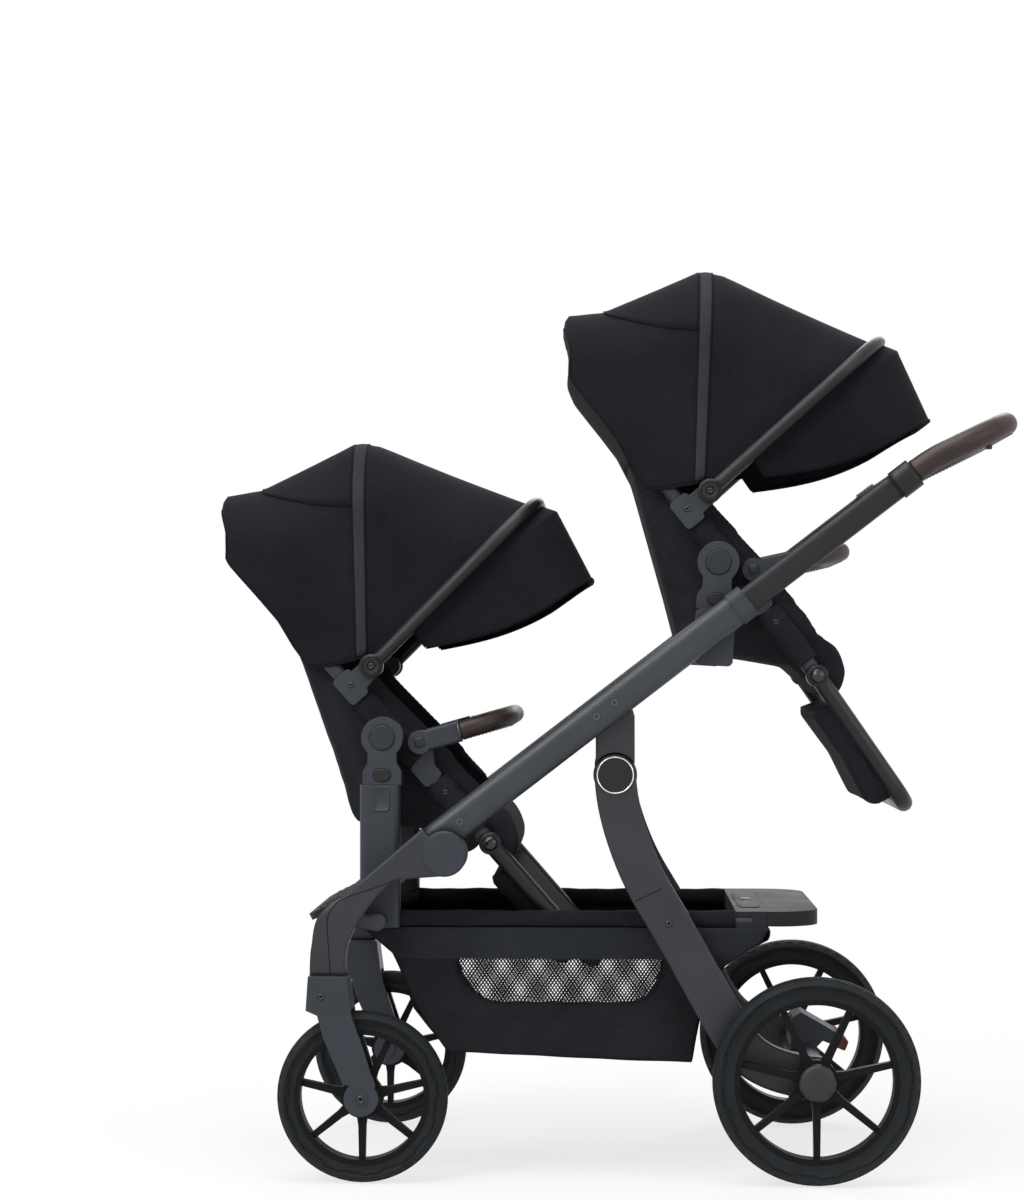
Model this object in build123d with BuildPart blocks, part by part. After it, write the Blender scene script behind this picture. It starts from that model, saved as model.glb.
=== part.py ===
from build123d import *

import os
from math import atan2, cos, degrees, hypot, radians, sin

# Twin pram: two seats one above the other on a folding four-wheel chassis.
# Millimetres. X runs from the front wheels to the handle, Y to the far side, Z up.
# The floor is Z = 0 and the pram is symmetric about the plane Y = 0.
# A piece of the near side is drawn in side view and mirrored to the far side.

# Widths, each set out from the spacing of the seats' side tubes
seat_tube_half_spacing = 174.5
adapter_inner = seat_tube_half_spacing + 29.5
post_inner = adapter_inner - 4
side_tube_half_spacing = post_inner + 6
rear_leg_inner = post_inner + 20
rail_half_spacing = rear_leg_inner + 42
rear_half_track = rail_half_spacing + 16
front_half_track = rail_half_spacing + 6
tray_half_width = side_tube_half_spacing + 10
footrest_half_width = post_inner - 10

# Wheels and axles
rear_wheel_diameter = 290
rear_tyre_width = 44
rear_rim_opening = 214
front_wheel_diameter = 240
front_tyre_width = 38
front_rim_opening = 174
tyre_wall_in_rim = 8
rim_width = 30
spoke_count = 7
spoke_width = 9
spoke_depth = 14
hub_radius = 26
hub_outer = 24
hub_cap = 5
axle_radius = 6
running_clearance = 0.05
part_clearance = 0.3
wheelbase = 634
rear_axle_x = 275
rear_axle_z = rear_wheel_diameter / 2
front_axle_x = rear_axle_x - wheelbase
front_axle_z = front_wheel_diameter / 2

# Main rails: an oval tube each side, and the telescoping tube inside it
rail_angle = 37.5
rail_height = 45.5
rail_width = 26
rail_wall = 2
rail_rise = 22.5
rail_length = 541.9
collar_length = 24
collar_wall = 2
slide_height = 37
slide_width = 18
slide_insertion = 190
slide_length = 275
handle_collar_length = 31
screw_head_radius = 5

# Pivots of the folding chassis, X and Z
knuckle_x = -244
knuckle_z = 460
knuckle_radius = 32
rear_pivot_x = -4.6
rear_pivot_z = 569
rear_pivot_radius = 31
side_pivot_x = -340
side_pivot_z = 363
pivot_pin_radius = 8
leg_seam_angle = 131.5

# Handle
handle_tube_radius = 12
grip_radius = 16.5
handle_end_run = 154.5
handle_end_drop = 25.3
handle_corner_radius = 85
grip_bend_radius = 250
handle_button_radius = 5
handle_button_travel = 3
handle_button_stand = 6
button_pocket = 3

# Legs, forks and rear axle
front_leg_thickness = 34
rear_leg_width = 59
rear_leg_thickness = 26
swivel_x = -406
swivel_radius = 9
fork_top_z = 289.7
fork_tyre_gap = 4
fork_leg_thickness = 11
rear_beam_radius = 21
brake_barrel_radius = 14
brake_sleeve_radius = 24
brake_width = 86

# Side frame with posts, tray, footrest and basket
side_tube_radius = 10.5
side_tube_z = side_pivot_z
post_width = 57
post_thickness = 30
post_foot_z = 352
tray_front_x = 166
tray_split_x = 210
tray_rear_x = 285
tray_top_z = 375
tray_depth = 26
tray_corner_radius = 60
footrest_length = 92
footrest_thickness = 10
footrest_slope = 26
cross_tube_radius = 11
basket_wall = 2
basket_floor = 3
hem_gap = 0.3
net_pitch_x = 11
net_pitch_z = 9
net_columns = 25
net_rows = 5
net_gap = 7
net_centre_x = -84
net_top_z = 302

# Seat unit, drawn about its hub axis and placed twice
lower_hub_x = -335.5
lower_hub_z = 621
lower_tilt = 0
upper_hub_x = 142
upper_hub_z = 870
upper_tilt = -3.5
upper_leg_drop = -3
seat_tube_radius = 11.5
seat_bend_radius = 50
seat_top_x = -214
seat_top_z = 257
leg_pivot_x = 152
leg_pivot_z = -152
hub_ring_radius = 29.6
hub_button_radius = 18
hub_button_travel = 3
release_button_length = 25
release_button_height = 18
release_button_drop = 53
release_button_travel = 2.5
adapter_thickness = 24
neck_width = 41
neck_foot_width = 55
neck_drop = 67
tongue_length = 36
tongue_width = 26
socket_length = 80
hub_pin_radius = 9
button_depth = 9
button_stand = 2.5
shell_half_width = seat_tube_half_spacing - 12.3
shell_wall = 12
shell_thickness = 26
knee_radius = 46
canopy_pivot_x = -17.3
canopy_pivot_z = 101.6
canopy_half_width = seat_tube_half_spacing + 15
canopy_wall = 3
canopy_corner = 105
bow_angle = 45.3
bow_reach = 334
bow_radius = 10
bow_half_spacing = seat_tube_half_spacing + 25.5
bow_corner = 105
visor_tip_x = 292
visor_tip_z = 228
visor_foot_x = 62
visor_foot_z = 131
bumper_pivot_x = 52
bumper_pivot_z = -7
bumper_slope = 15.8
bumper_reach = 131
bumper_half_spacing = seat_tube_half_spacing + 20
bumper_eye_half = 8.5
bumper_tube_radius = 8.5
bumper_grip_radius = 13.5
bumper_corner = 70
bumper_grip_start = 60
leg_rest_angle = -49
leg_rest_length = 222
leg_tube_radius = 12.5
leg_tube_half_spacing = seat_tube_half_spacing + 1.5
leg_eye_radius = 16
leg_bend_radius = 34
leg_pad_gap = 1.5
strap_width = 38
strap_thickness = 3

rail_u = (cos(radians(rail_angle)), sin(radians(rail_angle)))
rail_n = (-rail_u[1], rail_u[0])
rail_foot_x = knuckle_x + rail_rise * rail_n[0]
rail_foot_z = knuckle_z + rail_rise * rail_n[1]


def side_view(distance):
    """Drawing plane at this distance to the near side: x to the rear, y up."""
    return Plane(origin=(0, -distance, 0), x_dir=(1, 0, 0), z_dir=(0, -1, 0))


def across(x):
    """Drawing plane square to X at this X: x to the far side, y up."""
    return Plane(origin=(x, 0, 0), x_dir=(0, 1, 0), z_dir=(1, 0, 0))


def rail_point(along, above=0):
    """Point in side view at a distance along the rail's axis and square to it."""
    x = rail_foot_x + along * rail_u[0] + above * rail_n[0]
    z = rail_foot_z + along * rail_u[1] + above * rail_n[1]
    return (x, z)


def rail_section(along, distance=rail_half_spacing):
    """Plane square to the rail, with its y axis towards the rail's top."""
    x, z = rail_point(along)
    return Plane(origin=(x, -distance, z), x_dir=(0, 1, 0), z_dir=(rail_u[0], 0, rail_u[1]))


def polar(centre, radius, angle):
    """Point at a radius and angle from a centre."""
    turn = radians(angle)
    return (centre[0] + radius * cos(turn), centre[1] + radius * sin(turn))


def offset_points(points, distance):
    """The points moved to the left of their path by a distance."""
    moved = []
    for i, (x, z) in enumerate(points):
        before = points[max(i - 1, 0)]
        after = points[min(i + 1, len(points) - 1)]
        run = (after[0] - before[0], after[1] - before[1])
        length = hypot(*run)
        moved.append((x - run[1] / length * distance, z + run[0] / length * distance))
    return moved


def save(part, name):
    """Write one finished piece as its own file."""
    part.label = name
    export_step(part, f"parts/{name}.step")


os.makedirs("parts", exist_ok=True)

# Main rails: hollow oval tubes, cut round at the fold knuckle
knuckle = (knuckle_x, knuckle_z)
rail_inner_face = rail_half_spacing - rail_width / 2
lap_face = rail_half_spacing
with BuildPart() as main_rails:
    with BuildSketch(rail_section(-30)):
        SlotOverall(rail_height, rail_width, rotation=90)
        SlotOverall(rail_height - 2 * rail_wall, rail_width - 2 * rail_wall, rotation=90, mode=Mode.SUBTRACT)
    extrude(amount=rail_length + 30)
    with BuildSketch(side_view(rail_inner_face - 5)):
        with Locations(knuckle):
            Circle(knuckle_radius + 2 * part_clearance)
        with BuildLine():
            Polyline(
                knuckle,
                polar(knuckle, 90, leg_seam_angle - 1),
                polar(knuckle, 120, 180),
                polar(knuckle, 90, 270),
                close=True,
            )
        make_face()
    extrude(amount=rail_width + 10, mode=Mode.SUBTRACT)
    mirror(about=Plane.XZ)
save(main_rails.part, "main_rails")

# Sleeves at the upper ends of the rails, where the handle tubes slide in
with BuildPart() as rail_collars:
    with BuildSketch(rail_section(rail_length - collar_length / 2)):
        SlotOverall(rail_height + 2 * collar_wall, rail_width + 2 * collar_wall, rotation=90)
        SlotOverall(rail_height, rail_width, rotation=90, mode=Mode.SUBTRACT)
    extrude(amount=collar_length / 2)
    with BuildSketch(rail_section(rail_length)):
        SlotOverall(rail_height + 2 * collar_wall, rail_width + 2 * collar_wall, rotation=90)
        SlotOverall(
            slide_height + 2 * part_clearance, slide_width + 2 * part_clearance, rotation=90, mode=Mode.SUBTRACT
        )
    extrude(amount=collar_length / 2)
    mirror(about=Plane.XZ)
save(rail_collars.part, "rail_collars")

# Fold knuckles: a plug in each rail end with the inner half of the lap joint and its pin
with BuildPart() as front_knuckles:
    with BuildSketch(rail_section(-2)):
        SlotOverall(
            rail_height - 2 * rail_wall - 2 * part_clearance,
            rail_width - 2 * rail_wall - 2 * part_clearance,
            rotation=90,
        )
    extrude(amount=68)
    with BuildSketch(side_view(lap_face - part_clearance)):
        with Locations(knuckle):
            Circle(knuckle_radius + 2 * part_clearance)
    extrude(amount=rail_width, mode=Mode.SUBTRACT)
    with BuildSketch(side_view(rail_inner_face)):
        with BuildLine():
            Polyline(
                knuckle,
                polar(knuckle, 90, leg_seam_angle - 1),
                polar(knuckle, 120, 180),
                polar(knuckle, 90, 270),
                close=True,
            )
        make_face()
    extrude(amount=rail_width, mode=Mode.SUBTRACT)
    with BuildSketch(side_view(rail_inner_face)):
        with Locations(knuckle):
            Circle(knuckle_radius)
    extrude(amount=rail_width / 2 - part_clearance)
    with BuildSketch(side_view(lap_face - 2 * part_clearance)):
        with Locations(knuckle):
            Circle(pivot_pin_radius)
    extrude(amount=16)
    mirror(about=Plane.XZ)
save(front_knuckles.part, "front_knuckles")

# Leg brackets: castings on the rails' inner faces, joined by a cross tube
rear_pivot = (rear_pivot_x, rear_pivot_z)
leg_lap_face = rear_leg_inner + rear_leg_thickness / 2
bracket_left = rear_pivot_x - rear_leg_width / 2 + 2
bracket_right = rear_pivot_x + rear_leg_width / 2 - 2
bracket_foot_z = rear_pivot_z + 14
bracket_back = rail_point(258, -4)
bracket_front = rail_point(340, -4)
with BuildPart() as leg_brackets:
    with BuildSketch(side_view(rear_leg_inner)):
        with BuildLine():
            Polyline(
                (bracket_left, bracket_foot_z),
                (bracket_right, bracket_foot_z),
                (bracket_right, bracket_front[1] - 30),
                bracket_front,
                bracket_back,
                (bracket_left, bracket_back[1] - 8),
                close=True,
            )
        make_face()
        with Locations(rear_pivot):
            Circle(rear_pivot_radius + 3 * part_clearance, mode=Mode.SUBTRACT)
    extrude(amount=rail_inner_face - rear_leg_inner)
    with BuildSketch(side_view(rear_leg_inner)):
        with Locations(rear_pivot):
            Circle(rear_pivot_radius)
        with Locations((rear_pivot_x, rear_pivot_z + rear_pivot_radius)):
            Rectangle(rear_leg_width - 12, rear_pivot_radius)
    extrude(amount=rear_leg_thickness / 2 - part_clearance)
    with BuildSketch(side_view(leg_lap_face - 2 * part_clearance)):
        with Locations(rear_pivot):
            Circle(pivot_pin_radius)
    extrude(amount=9)
    with BuildSketch(side_view(0)):
        with Locations((rear_pivot_x, rear_pivot_z + 68)):
            Circle(cross_tube_radius)
    extrude(amount=rear_leg_inner + 4)
    mirror(about=Plane.XZ)
save(leg_brackets.part, "leg_brackets")

# Handle: two oval slides inside the rails and one bent round tube between their collars
collar_start = rail_length + slide_length
slide_start = rail_length - slide_insertion
collar_end = collar_start + handle_collar_length
grip_bend_x, grip_bend_z = rail_point(collar_end + 30)
handle_end_x, handle_end_z = rail_point(collar_end + handle_end_run, -handle_end_drop)
grip_x, grip_z = rail_point(collar_end)


def handle_route(start_x, start_z):
    """Half of the handle's route, from one rail to the middle of the bar."""
    return [
        (start_x, -rail_half_spacing, start_z),
        (grip_bend_x, -rail_half_spacing, grip_bend_z),
        (handle_end_x, -rail_half_spacing, handle_end_z),
        (handle_end_x, 0, handle_end_z),
    ]


with BuildPart() as handle_tube:
    with BuildSketch(rail_section(slide_start)):
        SlotOverall(slide_height, slide_width, rotation=90)
        SlotOverall(slide_height - 4, slide_width - 4, rotation=90, mode=Mode.SUBTRACT)
    extrude(amount=collar_start - slide_start)
    with BuildSketch(rail_section(collar_start)):
        SlotOverall(slide_height + 6, slide_width + 14, rotation=90)
    extrude(amount=handle_collar_length)
    with BuildLine() as handle_line:
        FilletPolyline(*handle_route(grip_x, grip_z), radius=[grip_bend_radius, handle_corner_radius])
    with BuildSketch(rail_section(collar_end)):
        Circle(handle_tube_radius)
    sweep(path=handle_line.line)
    mirror(about=Plane.XZ)
    with BuildSketch(Plane.XY.offset(handle_end_z - handle_tube_radius - 1)):
        with Locations((handle_end_x, 0)):
            Circle(handle_button_radius + part_clearance)
    extrude(amount=handle_tube_radius + 1 - button_pocket, mode=Mode.SUBTRACT)
save(handle_tube.part, "handle_tube")

# Leather grip sewn round the handle bar, with a hole under its middle for the button
with BuildPart() as handle_grip:
    with BuildLine() as grip_line:
        FilletPolyline(*handle_route(grip_x, grip_z), radius=[grip_bend_radius, handle_corner_radius])
    with BuildSketch(rail_section(collar_end)):
        Circle(grip_radius)
        Circle(handle_tube_radius, mode=Mode.SUBTRACT)
    sweep(path=grip_line.line)
    mirror(about=Plane.XZ)
    with BuildSketch(Plane.XY.offset(handle_end_z - grip_radius - 2)):
        with Locations((handle_end_x, 0)):
            Circle(handle_button_radius + part_clearance)
    extrude(amount=grip_radius, mode=Mode.SUBTRACT)
save(handle_grip.part, "handle_grip")

# Fold button under the middle of the handle bar
with BuildPart() as handle_button:
    with BuildSketch(Plane.XY.offset(handle_end_z - grip_radius - handle_button_stand)):
        with Locations((handle_end_x, 0)):
            Circle(handle_button_radius)
    extrude(amount=grip_radius + handle_button_stand - button_pocket - handle_button_travel - part_clearance)
    fillet(handle_button.edges().group_by(Axis.Z)[0], 1.5)
save(handle_button.part, "handle_button")

# Rear legs: curved blades from the pivot down to the axle
leg_route = [
    (rear_pivot_x, rear_pivot_z),
    (2, 519),
    (17, 468),
    (41, 413),
    (70, 364),
    (104, 304),
    (146, 228),
    (186, 174),
    (232, 152),
    (rear_axle_x, rear_axle_z),
]
foot_radius = 30
with BuildPart() as rear_legs:
    with BuildSketch(side_view(rear_leg_inner)):
        with BuildLine():
            left = offset_points(leg_route, rear_leg_width / 2)
            right = offset_points(leg_route, -rear_leg_width / 2)
            Spline(*left)
            Line(left[-1], right[-1])
            Spline(*reversed(right))
            Line(right[0], left[0])
        make_face()
        with Locations(rear_pivot):
            Circle(rear_leg_width / 2)
        with Locations((rear_axle_x, rear_axle_z)):
            Circle(rear_leg_width / 2)
    extrude(amount=rear_leg_thickness)
    with BuildSketch(side_view(rear_leg_inner - 1)):
        with Locations(rear_pivot):
            Circle(rear_pivot_radius + 2 * part_clearance)
    extrude(amount=rear_leg_thickness / 2 + 1, mode=Mode.SUBTRACT)
    with BuildSketch(side_view(leg_lap_face - 1)):
        with Locations(rear_pivot):
            Circle(pivot_pin_radius + running_clearance)
    extrude(amount=11, mode=Mode.SUBTRACT)
    with BuildSketch(side_view(rear_leg_inner - 1)):
        with Locations((rear_axle_x, rear_axle_z)):
            Circle(axle_radius)
    extrude(amount=rear_leg_thickness + 2, mode=Mode.SUBTRACT)
    mirror(about=Plane.XZ)
save(rear_legs.part, "rear_legs")

# Plain caps over the rear pivots
with BuildPart() as pivot_caps:
    with BuildSketch(side_view(rear_leg_inner + rear_leg_thickness)):
        with Locations(rear_pivot):
            Circle(rear_leg_width / 2 - 3)
    extrude(amount=1.6)
    with BuildSketch(side_view(rear_leg_inner + rear_leg_thickness + 1.6)):
        with Locations(rear_pivot):
            Circle(rear_leg_width / 2 - 3)
            Circle(rear_leg_width / 2 - 6, mode=Mode.SUBTRACT)
    extrude(amount=1)
    mirror(about=Plane.XZ)
save(pivot_caps.part, "pivot_caps")

# Axle housing: the beam between the legs, with a thin barrel for the brake in its middle
axle_point = (rear_axle_x, rear_axle_z)
with BuildPart() as rear_axle_housing:
    with BuildSketch(side_view(brake_width / 2 + part_clearance)):
        with Locations(axle_point):
            Circle(rear_beam_radius)
            Circle(axle_radius, mode=Mode.SUBTRACT)
    extrude(amount=rear_leg_inner - brake_width / 2 - part_clearance)
    with BuildSketch(side_view(0)):
        with Locations(axle_point):
            Circle(brake_barrel_radius)
            Circle(axle_radius, mode=Mode.SUBTRACT)
    extrude(amount=brake_width / 2 + part_clearance)
    mirror(about=Plane.XZ)
save(rear_axle_housing.part, "rear_axle_housing")

# Brake pedal: a sleeve on the barrel with a hump and a foot plate to the rear
with BuildPart() as brake_pedal:
    with BuildSketch(side_view(0)):
        with Locations(axle_point):
            Circle(brake_sleeve_radius)
        with BuildLine():
            Polyline(
                axle_point,
                (rear_axle_x - 22, rear_axle_z + 20),
                (rear_axle_x - 18, rear_axle_z + 60),
                (rear_axle_x - 6, rear_axle_z + 68),
                (rear_axle_x + 12, rear_axle_z + 58),
                (rear_axle_x + 50, rear_axle_z + 36),
                (rear_axle_x + 62, rear_axle_z + 24),
                (rear_axle_x + 58, rear_axle_z + 14),
                (rear_axle_x + 26, rear_axle_z + 26),
                close=True,
            )
        make_face()
        with Locations(axle_point):
            Circle(brake_barrel_radius + running_clearance, mode=Mode.SUBTRACT)
    extrude(amount=brake_width / 2)
    mirror(about=Plane.XZ)
save(brake_pedal.part, "brake_pedal")

# Rear axle: one steel rod from wheel to wheel
rear_axle_end = rear_half_track + hub_outer - hub_cap - 1
with BuildPart() as rear_axle:
    with BuildSketch(side_view(-rear_axle_end)):
        with Locations((rear_axle_x, rear_axle_z)):
            Circle(axle_radius)
    extrude(amount=2 * rear_axle_end)
save(rear_axle.part, "rear_axle")


def make_rim(x, y, z, opening, inner_end, outer_end, cap):
    """Spoked wheel: rim ring, spokes, and a hub whose outer end is closed by the cap's thickness."""
    ring_radius = opening / 2
    near = y < 0
    hub_start = -inner_end if near else -outer_end
    bore_start = hub_start - 1 if near else hub_start + cap
    centre = Plane(origin=(x, y, z), x_dir=(1, 0, 0), z_dir=(0, -1, 0))
    with BuildPart() as rim:
        with BuildSketch(centre.offset(-rim_width / 2)):
            Circle(ring_radius + tyre_wall_in_rim)
            Circle(ring_radius, mode=Mode.SUBTRACT)
        extrude(amount=rim_width)
        with BuildSketch(centre.offset(-spoke_depth / 2)):
            with BuildLine() as spoke_edge:
                Polyline(
                    (hub_radius - 6, -spoke_width),
                    (hub_radius + 14, -spoke_width / 2 - 1),
                    (ring_radius + 2, -spoke_width / 2),
                    (ring_radius + 2, spoke_width / 2),
                    (hub_radius + 14, spoke_width / 2 + 1),
                    (hub_radius - 6, spoke_width),
                    close=True,
                )
            spoke = make_face(spoke_edge.edges(), mode=Mode.PRIVATE)
            with PolarLocations(0, spoke_count, start_angle=-90):
                add(spoke)
            Circle(hub_radius + 4)
        extrude(amount=spoke_depth)
        with BuildSketch(centre.offset(hub_start)):
            Circle(hub_radius)
        extrude(amount=inner_end + outer_end)
        with BuildSketch(centre.offset(bore_start)):
            Circle(axle_radius + running_clearance)
        extrude(amount=inner_end + outer_end + 1 - cap, mode=Mode.SUBTRACT)
    return rim.part


def make_tyre(x, y, z, diameter, width, opening):
    """Tyre: a crowned ring seated on the rim, with two grooves round the tread."""
    seat = opening / 2 + tyre_wall_in_rim
    crown = diameter / 2
    axis = Axis((x, y, z), (0, 1, 0))
    with BuildPart() as tyre:
        with BuildSketch(Plane(origin=(x, y, z), x_dir=(1, 0, 0), z_dir=(0, 0, 1))):
            with BuildLine():
                Polyline((seat, -rim_width / 2), (seat, rim_width / 2))
                RadiusArc((seat, rim_width / 2), (crown - 10, width / 2), -(crown - seat))
                ThreePointArc((crown - 10, width / 2), (crown, 0), (crown - 10, -width / 2))
                RadiusArc((crown - 10, -width / 2), (seat, -rim_width / 2), -(crown - seat))
            make_face()
            with Locations((crown, width / 5), (crown, -width / 5)):
                Rectangle(5, 2.4, mode=Mode.SUBTRACT)
        revolve(axis=axis)
    return tyre.part


for side, sign in (("left", -1), ("right", 1)):
    rear_y = sign * rear_half_track
    hub_inner = rear_half_track - rear_leg_inner - rear_leg_thickness - 2 * part_clearance
    rim = make_rim(rear_axle_x, rear_y, rear_axle_z, rear_rim_opening, hub_inner, hub_outer, hub_cap)
    save(rim, f"rear_rim_{side}")
    tyre = make_tyre(
        rear_axle_x, rear_y, rear_axle_z, rear_wheel_diameter, rear_tyre_width, rear_rim_opening
    )
    save(tyre, f"rear_tyre_{side}")

# Front legs: castings that curve from the knuckle down to the swivel
front_leg_inner = front_half_track - front_leg_thickness / 2
front_leg_outer = front_half_track + front_leg_thickness / 2
leg_top = polar(knuckle, 47, leg_seam_angle)
leg_foot_z = fork_top_z + part_clearance
with BuildPart() as front_legs:
    with BuildSketch(side_view(front_leg_inner)):
        with BuildLine():
            Line(knuckle, leg_top)
            Line(leg_top, (knuckle_x - 146, knuckle_z - 63))
            Spline(
                (knuckle_x - 146, knuckle_z - 63),
                (swivel_x - 14.5, leg_foot_z + 82),
                (swivel_x - 23, leg_foot_z + 46),
                (swivel_x - 26, leg_foot_z),
                tangents=((-0.76, -0.65), (0, -1)),
            )
            Line((swivel_x - 26, leg_foot_z), (swivel_x + 23, leg_foot_z))
            Spline(
                (swivel_x + 23, leg_foot_z),
                (swivel_x + 26, leg_foot_z + 40),
                (swivel_x + 53, leg_foot_z + 91),
                (knuckle_x - 68, knuckle_z - 36),
                tangents=((0, 1), (0.8, 0.6)),
            )
            Line((knuckle_x - 68, knuckle_z - 36), (knuckle_x - 5, knuckle_z - knuckle_radius + 0.5))
            Line((knuckle_x - 5, knuckle_z - knuckle_radius + 0.5), knuckle)
        make_face()
        with Locations(knuckle):
            Circle(knuckle_radius)
    extrude(amount=front_leg_thickness)
    with BuildSketch(side_view(front_leg_inner - 1)):
        with Locations(knuckle):
            Circle(knuckle_radius + 2 * part_clearance)
    extrude(amount=lap_face - front_leg_inner + 1, mode=Mode.SUBTRACT)
    with BuildSketch(side_view(front_leg_inner)):
        with Locations(knuckle):
            Circle(pivot_pin_radius + running_clearance)
    extrude(amount=lap_face - front_leg_inner + 18, mode=Mode.SUBTRACT)
    with BuildSketch(side_view(post_inner + post_thickness + part_clearance)):
        with Locations((side_pivot_x, side_pivot_z)):
            Circle(pivot_pin_radius + 5)
    extrude(amount=front_leg_inner - post_inner - post_thickness + 2)
    with BuildSketch(side_view(post_inner + 8)):
        with Locations((side_pivot_x, side_pivot_z)):
            Circle(pivot_pin_radius)
    extrude(amount=post_thickness)
    with BuildSketch(side_view(front_leg_inner)):
        with BuildLine():
            Polyline(
                (side_pivot_x, side_pivot_z + pivot_pin_radius + 5),
                (side_pivot_x - 30, side_pivot_z + 8),
                (side_pivot_x - 30, side_pivot_z - 8),
                (side_pivot_x, side_pivot_z - pivot_pin_radius - 5),
                close=True,
            )
        make_face()
        with Locations((side_pivot_x, side_pivot_z)):
            Circle(pivot_pin_radius + 5)
    extrude(amount=14)
    with BuildSketch(Plane.XY.offset(leg_foot_z - 1)):
        with Locations((swivel_x, -front_half_track)):
            Circle(swivel_radius + running_clearance)
    extrude(amount=42, mode=Mode.SUBTRACT)
    mirror(about=Plane.XZ)
save(front_legs.part, "front_legs")


def make_fork(y):
    """Swivel fork: a stem, a crown arched over the tyre, two legs and the axle bolt."""
    gap = front_tyre_width / 2 + fork_tyre_gap
    half = gap + fork_leg_thickness
    axle = (front_axle_x, front_axle_z)
    outline = [
        (swivel_x - 27, fork_top_z),
        (swivel_x - 30, fork_top_z - 47),
        (swivel_x - 14, fork_top_z - 54),
        (swivel_x - 6, front_axle_z + 86),
        (front_axle_x - 25, front_axle_z + 20),
        (front_axle_x + 20, front_axle_z + 16),
        (swivel_x + 34, fork_top_z - 54),
        (swivel_x + 27, fork_top_z),
    ]
    near = Plane(origin=(0, y + half, 0), x_dir=(1, 0, 0), z_dir=(0, -1, 0))
    with BuildPart() as fork:
        with BuildSketch(near):
            with BuildLine():
                Polyline(*outline, close=True)
            make_face()
            with Locations(axle):
                Circle(24)
        extrude(amount=2 * half)
        with BuildSketch(near.offset(fork_leg_thickness)):
            with Locations(axle):
                Circle(front_wheel_diameter / 2 + fork_tyre_gap)
        extrude(amount=2 * gap, mode=Mode.SUBTRACT)
        with BuildSketch(near.offset(-1)):
            with Locations(axle):
                Circle(axle_radius)
        extrude(amount=2 * half + 2, mode=Mode.SUBTRACT)
        with BuildSketch(near.offset(-2)):
            with Locations(axle):
                Circle(axle_radius + 4)
        extrude(amount=2)
        with BuildSketch(near.offset(2 * half)):
            with Locations(axle):
                Circle(axle_radius + 4)
        extrude(amount=2)
        with BuildSketch(near):
            with Locations(axle):
                Circle(axle_radius)
        extrude(amount=2 * half)
        with BuildSketch(Plane.XY.offset(fork_top_z - 2)):
            with Locations((swivel_x, y)):
                Circle(swivel_radius)
        extrude(amount=40)
    return fork.part


for side, sign in (("left", -1), ("right", 1)):
    front_y = sign * front_half_track
    save(make_fork(front_y), f"fork_{side}")
    hub_reach = front_tyre_width / 2 + fork_tyre_gap - 2 * part_clearance
    rim = make_rim(front_axle_x, front_y, front_axle_z, front_rim_opening, hub_reach, hub_reach, -1)
    save(rim, f"front_rim_{side}")
    tyre = make_tyre(
        front_axle_x, front_y, front_axle_z, front_wheel_diameter, front_tyre_width, front_rim_opening
    )
    save(tyre, f"front_tyre_{side}")

# Side frame: a tube each side under the basket's hem, and the front cross tube
post_left = lower_hub_x - 3 - post_width / 2
post_top_z = lower_hub_z - neck_drop
post_right = post_left + post_width
side_tube_start = post_right - 14
side_tube_centres = [(-side_tube_half_spacing, side_tube_z), (side_tube_half_spacing, side_tube_z)]
cross_tube = (post_left + post_width / 2, side_tube_z + 38)
with BuildPart() as side_tubes:
    with BuildSketch(across(side_tube_start)):
        with Locations(*side_tube_centres):
            Circle(side_tube_radius)
            Circle(side_tube_radius - 1.5, mode=Mode.SUBTRACT)
    extrude(amount=tray_front_x + 24 - side_tube_start)
    with BuildSketch(side_view(0)):
        with Locations(cross_tube):
            Circle(cross_tube_radius)
    extrude(amount=post_inner)
    mirror(about=Plane.XZ)
save(side_tubes.part, "side_tubes")

# Posts that carry the lower seat
with BuildPart() as seat_posts:
    with BuildSketch(Plane.XY.offset(post_foot_z)):
        with Locations(((post_left + post_right) / 2, -post_inner - post_thickness / 2)):
            RectangleRounded(post_width, post_thickness, 9)
    extrude(amount=post_top_z - post_foot_z)
    with BuildSketch(across(side_tube_start)):
        with Locations(*side_tube_centres):
            Circle(side_tube_radius)
    extrude(amount=post_width, mode=Mode.SUBTRACT)
    with BuildSketch(side_view(post_inner + 6)):
        with Locations((side_pivot_x, side_pivot_z)):
            Circle(pivot_pin_radius + running_clearance)
    extrude(amount=post_thickness, mode=Mode.SUBTRACT)
    with BuildSketch(Plane.XY.offset(post_top_z)):
        with Locations((lower_hub_x, -adapter_inner - adapter_thickness / 2)):
            Rectangle(tongue_width + 2 * part_clearance, adapter_thickness - 8 + 2 * part_clearance)
    extrude(amount=-tongue_length - part_clearance, mode=Mode.SUBTRACT)
    mirror(about=Plane.XZ)
save(seat_posts.part, "seat_posts")

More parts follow.
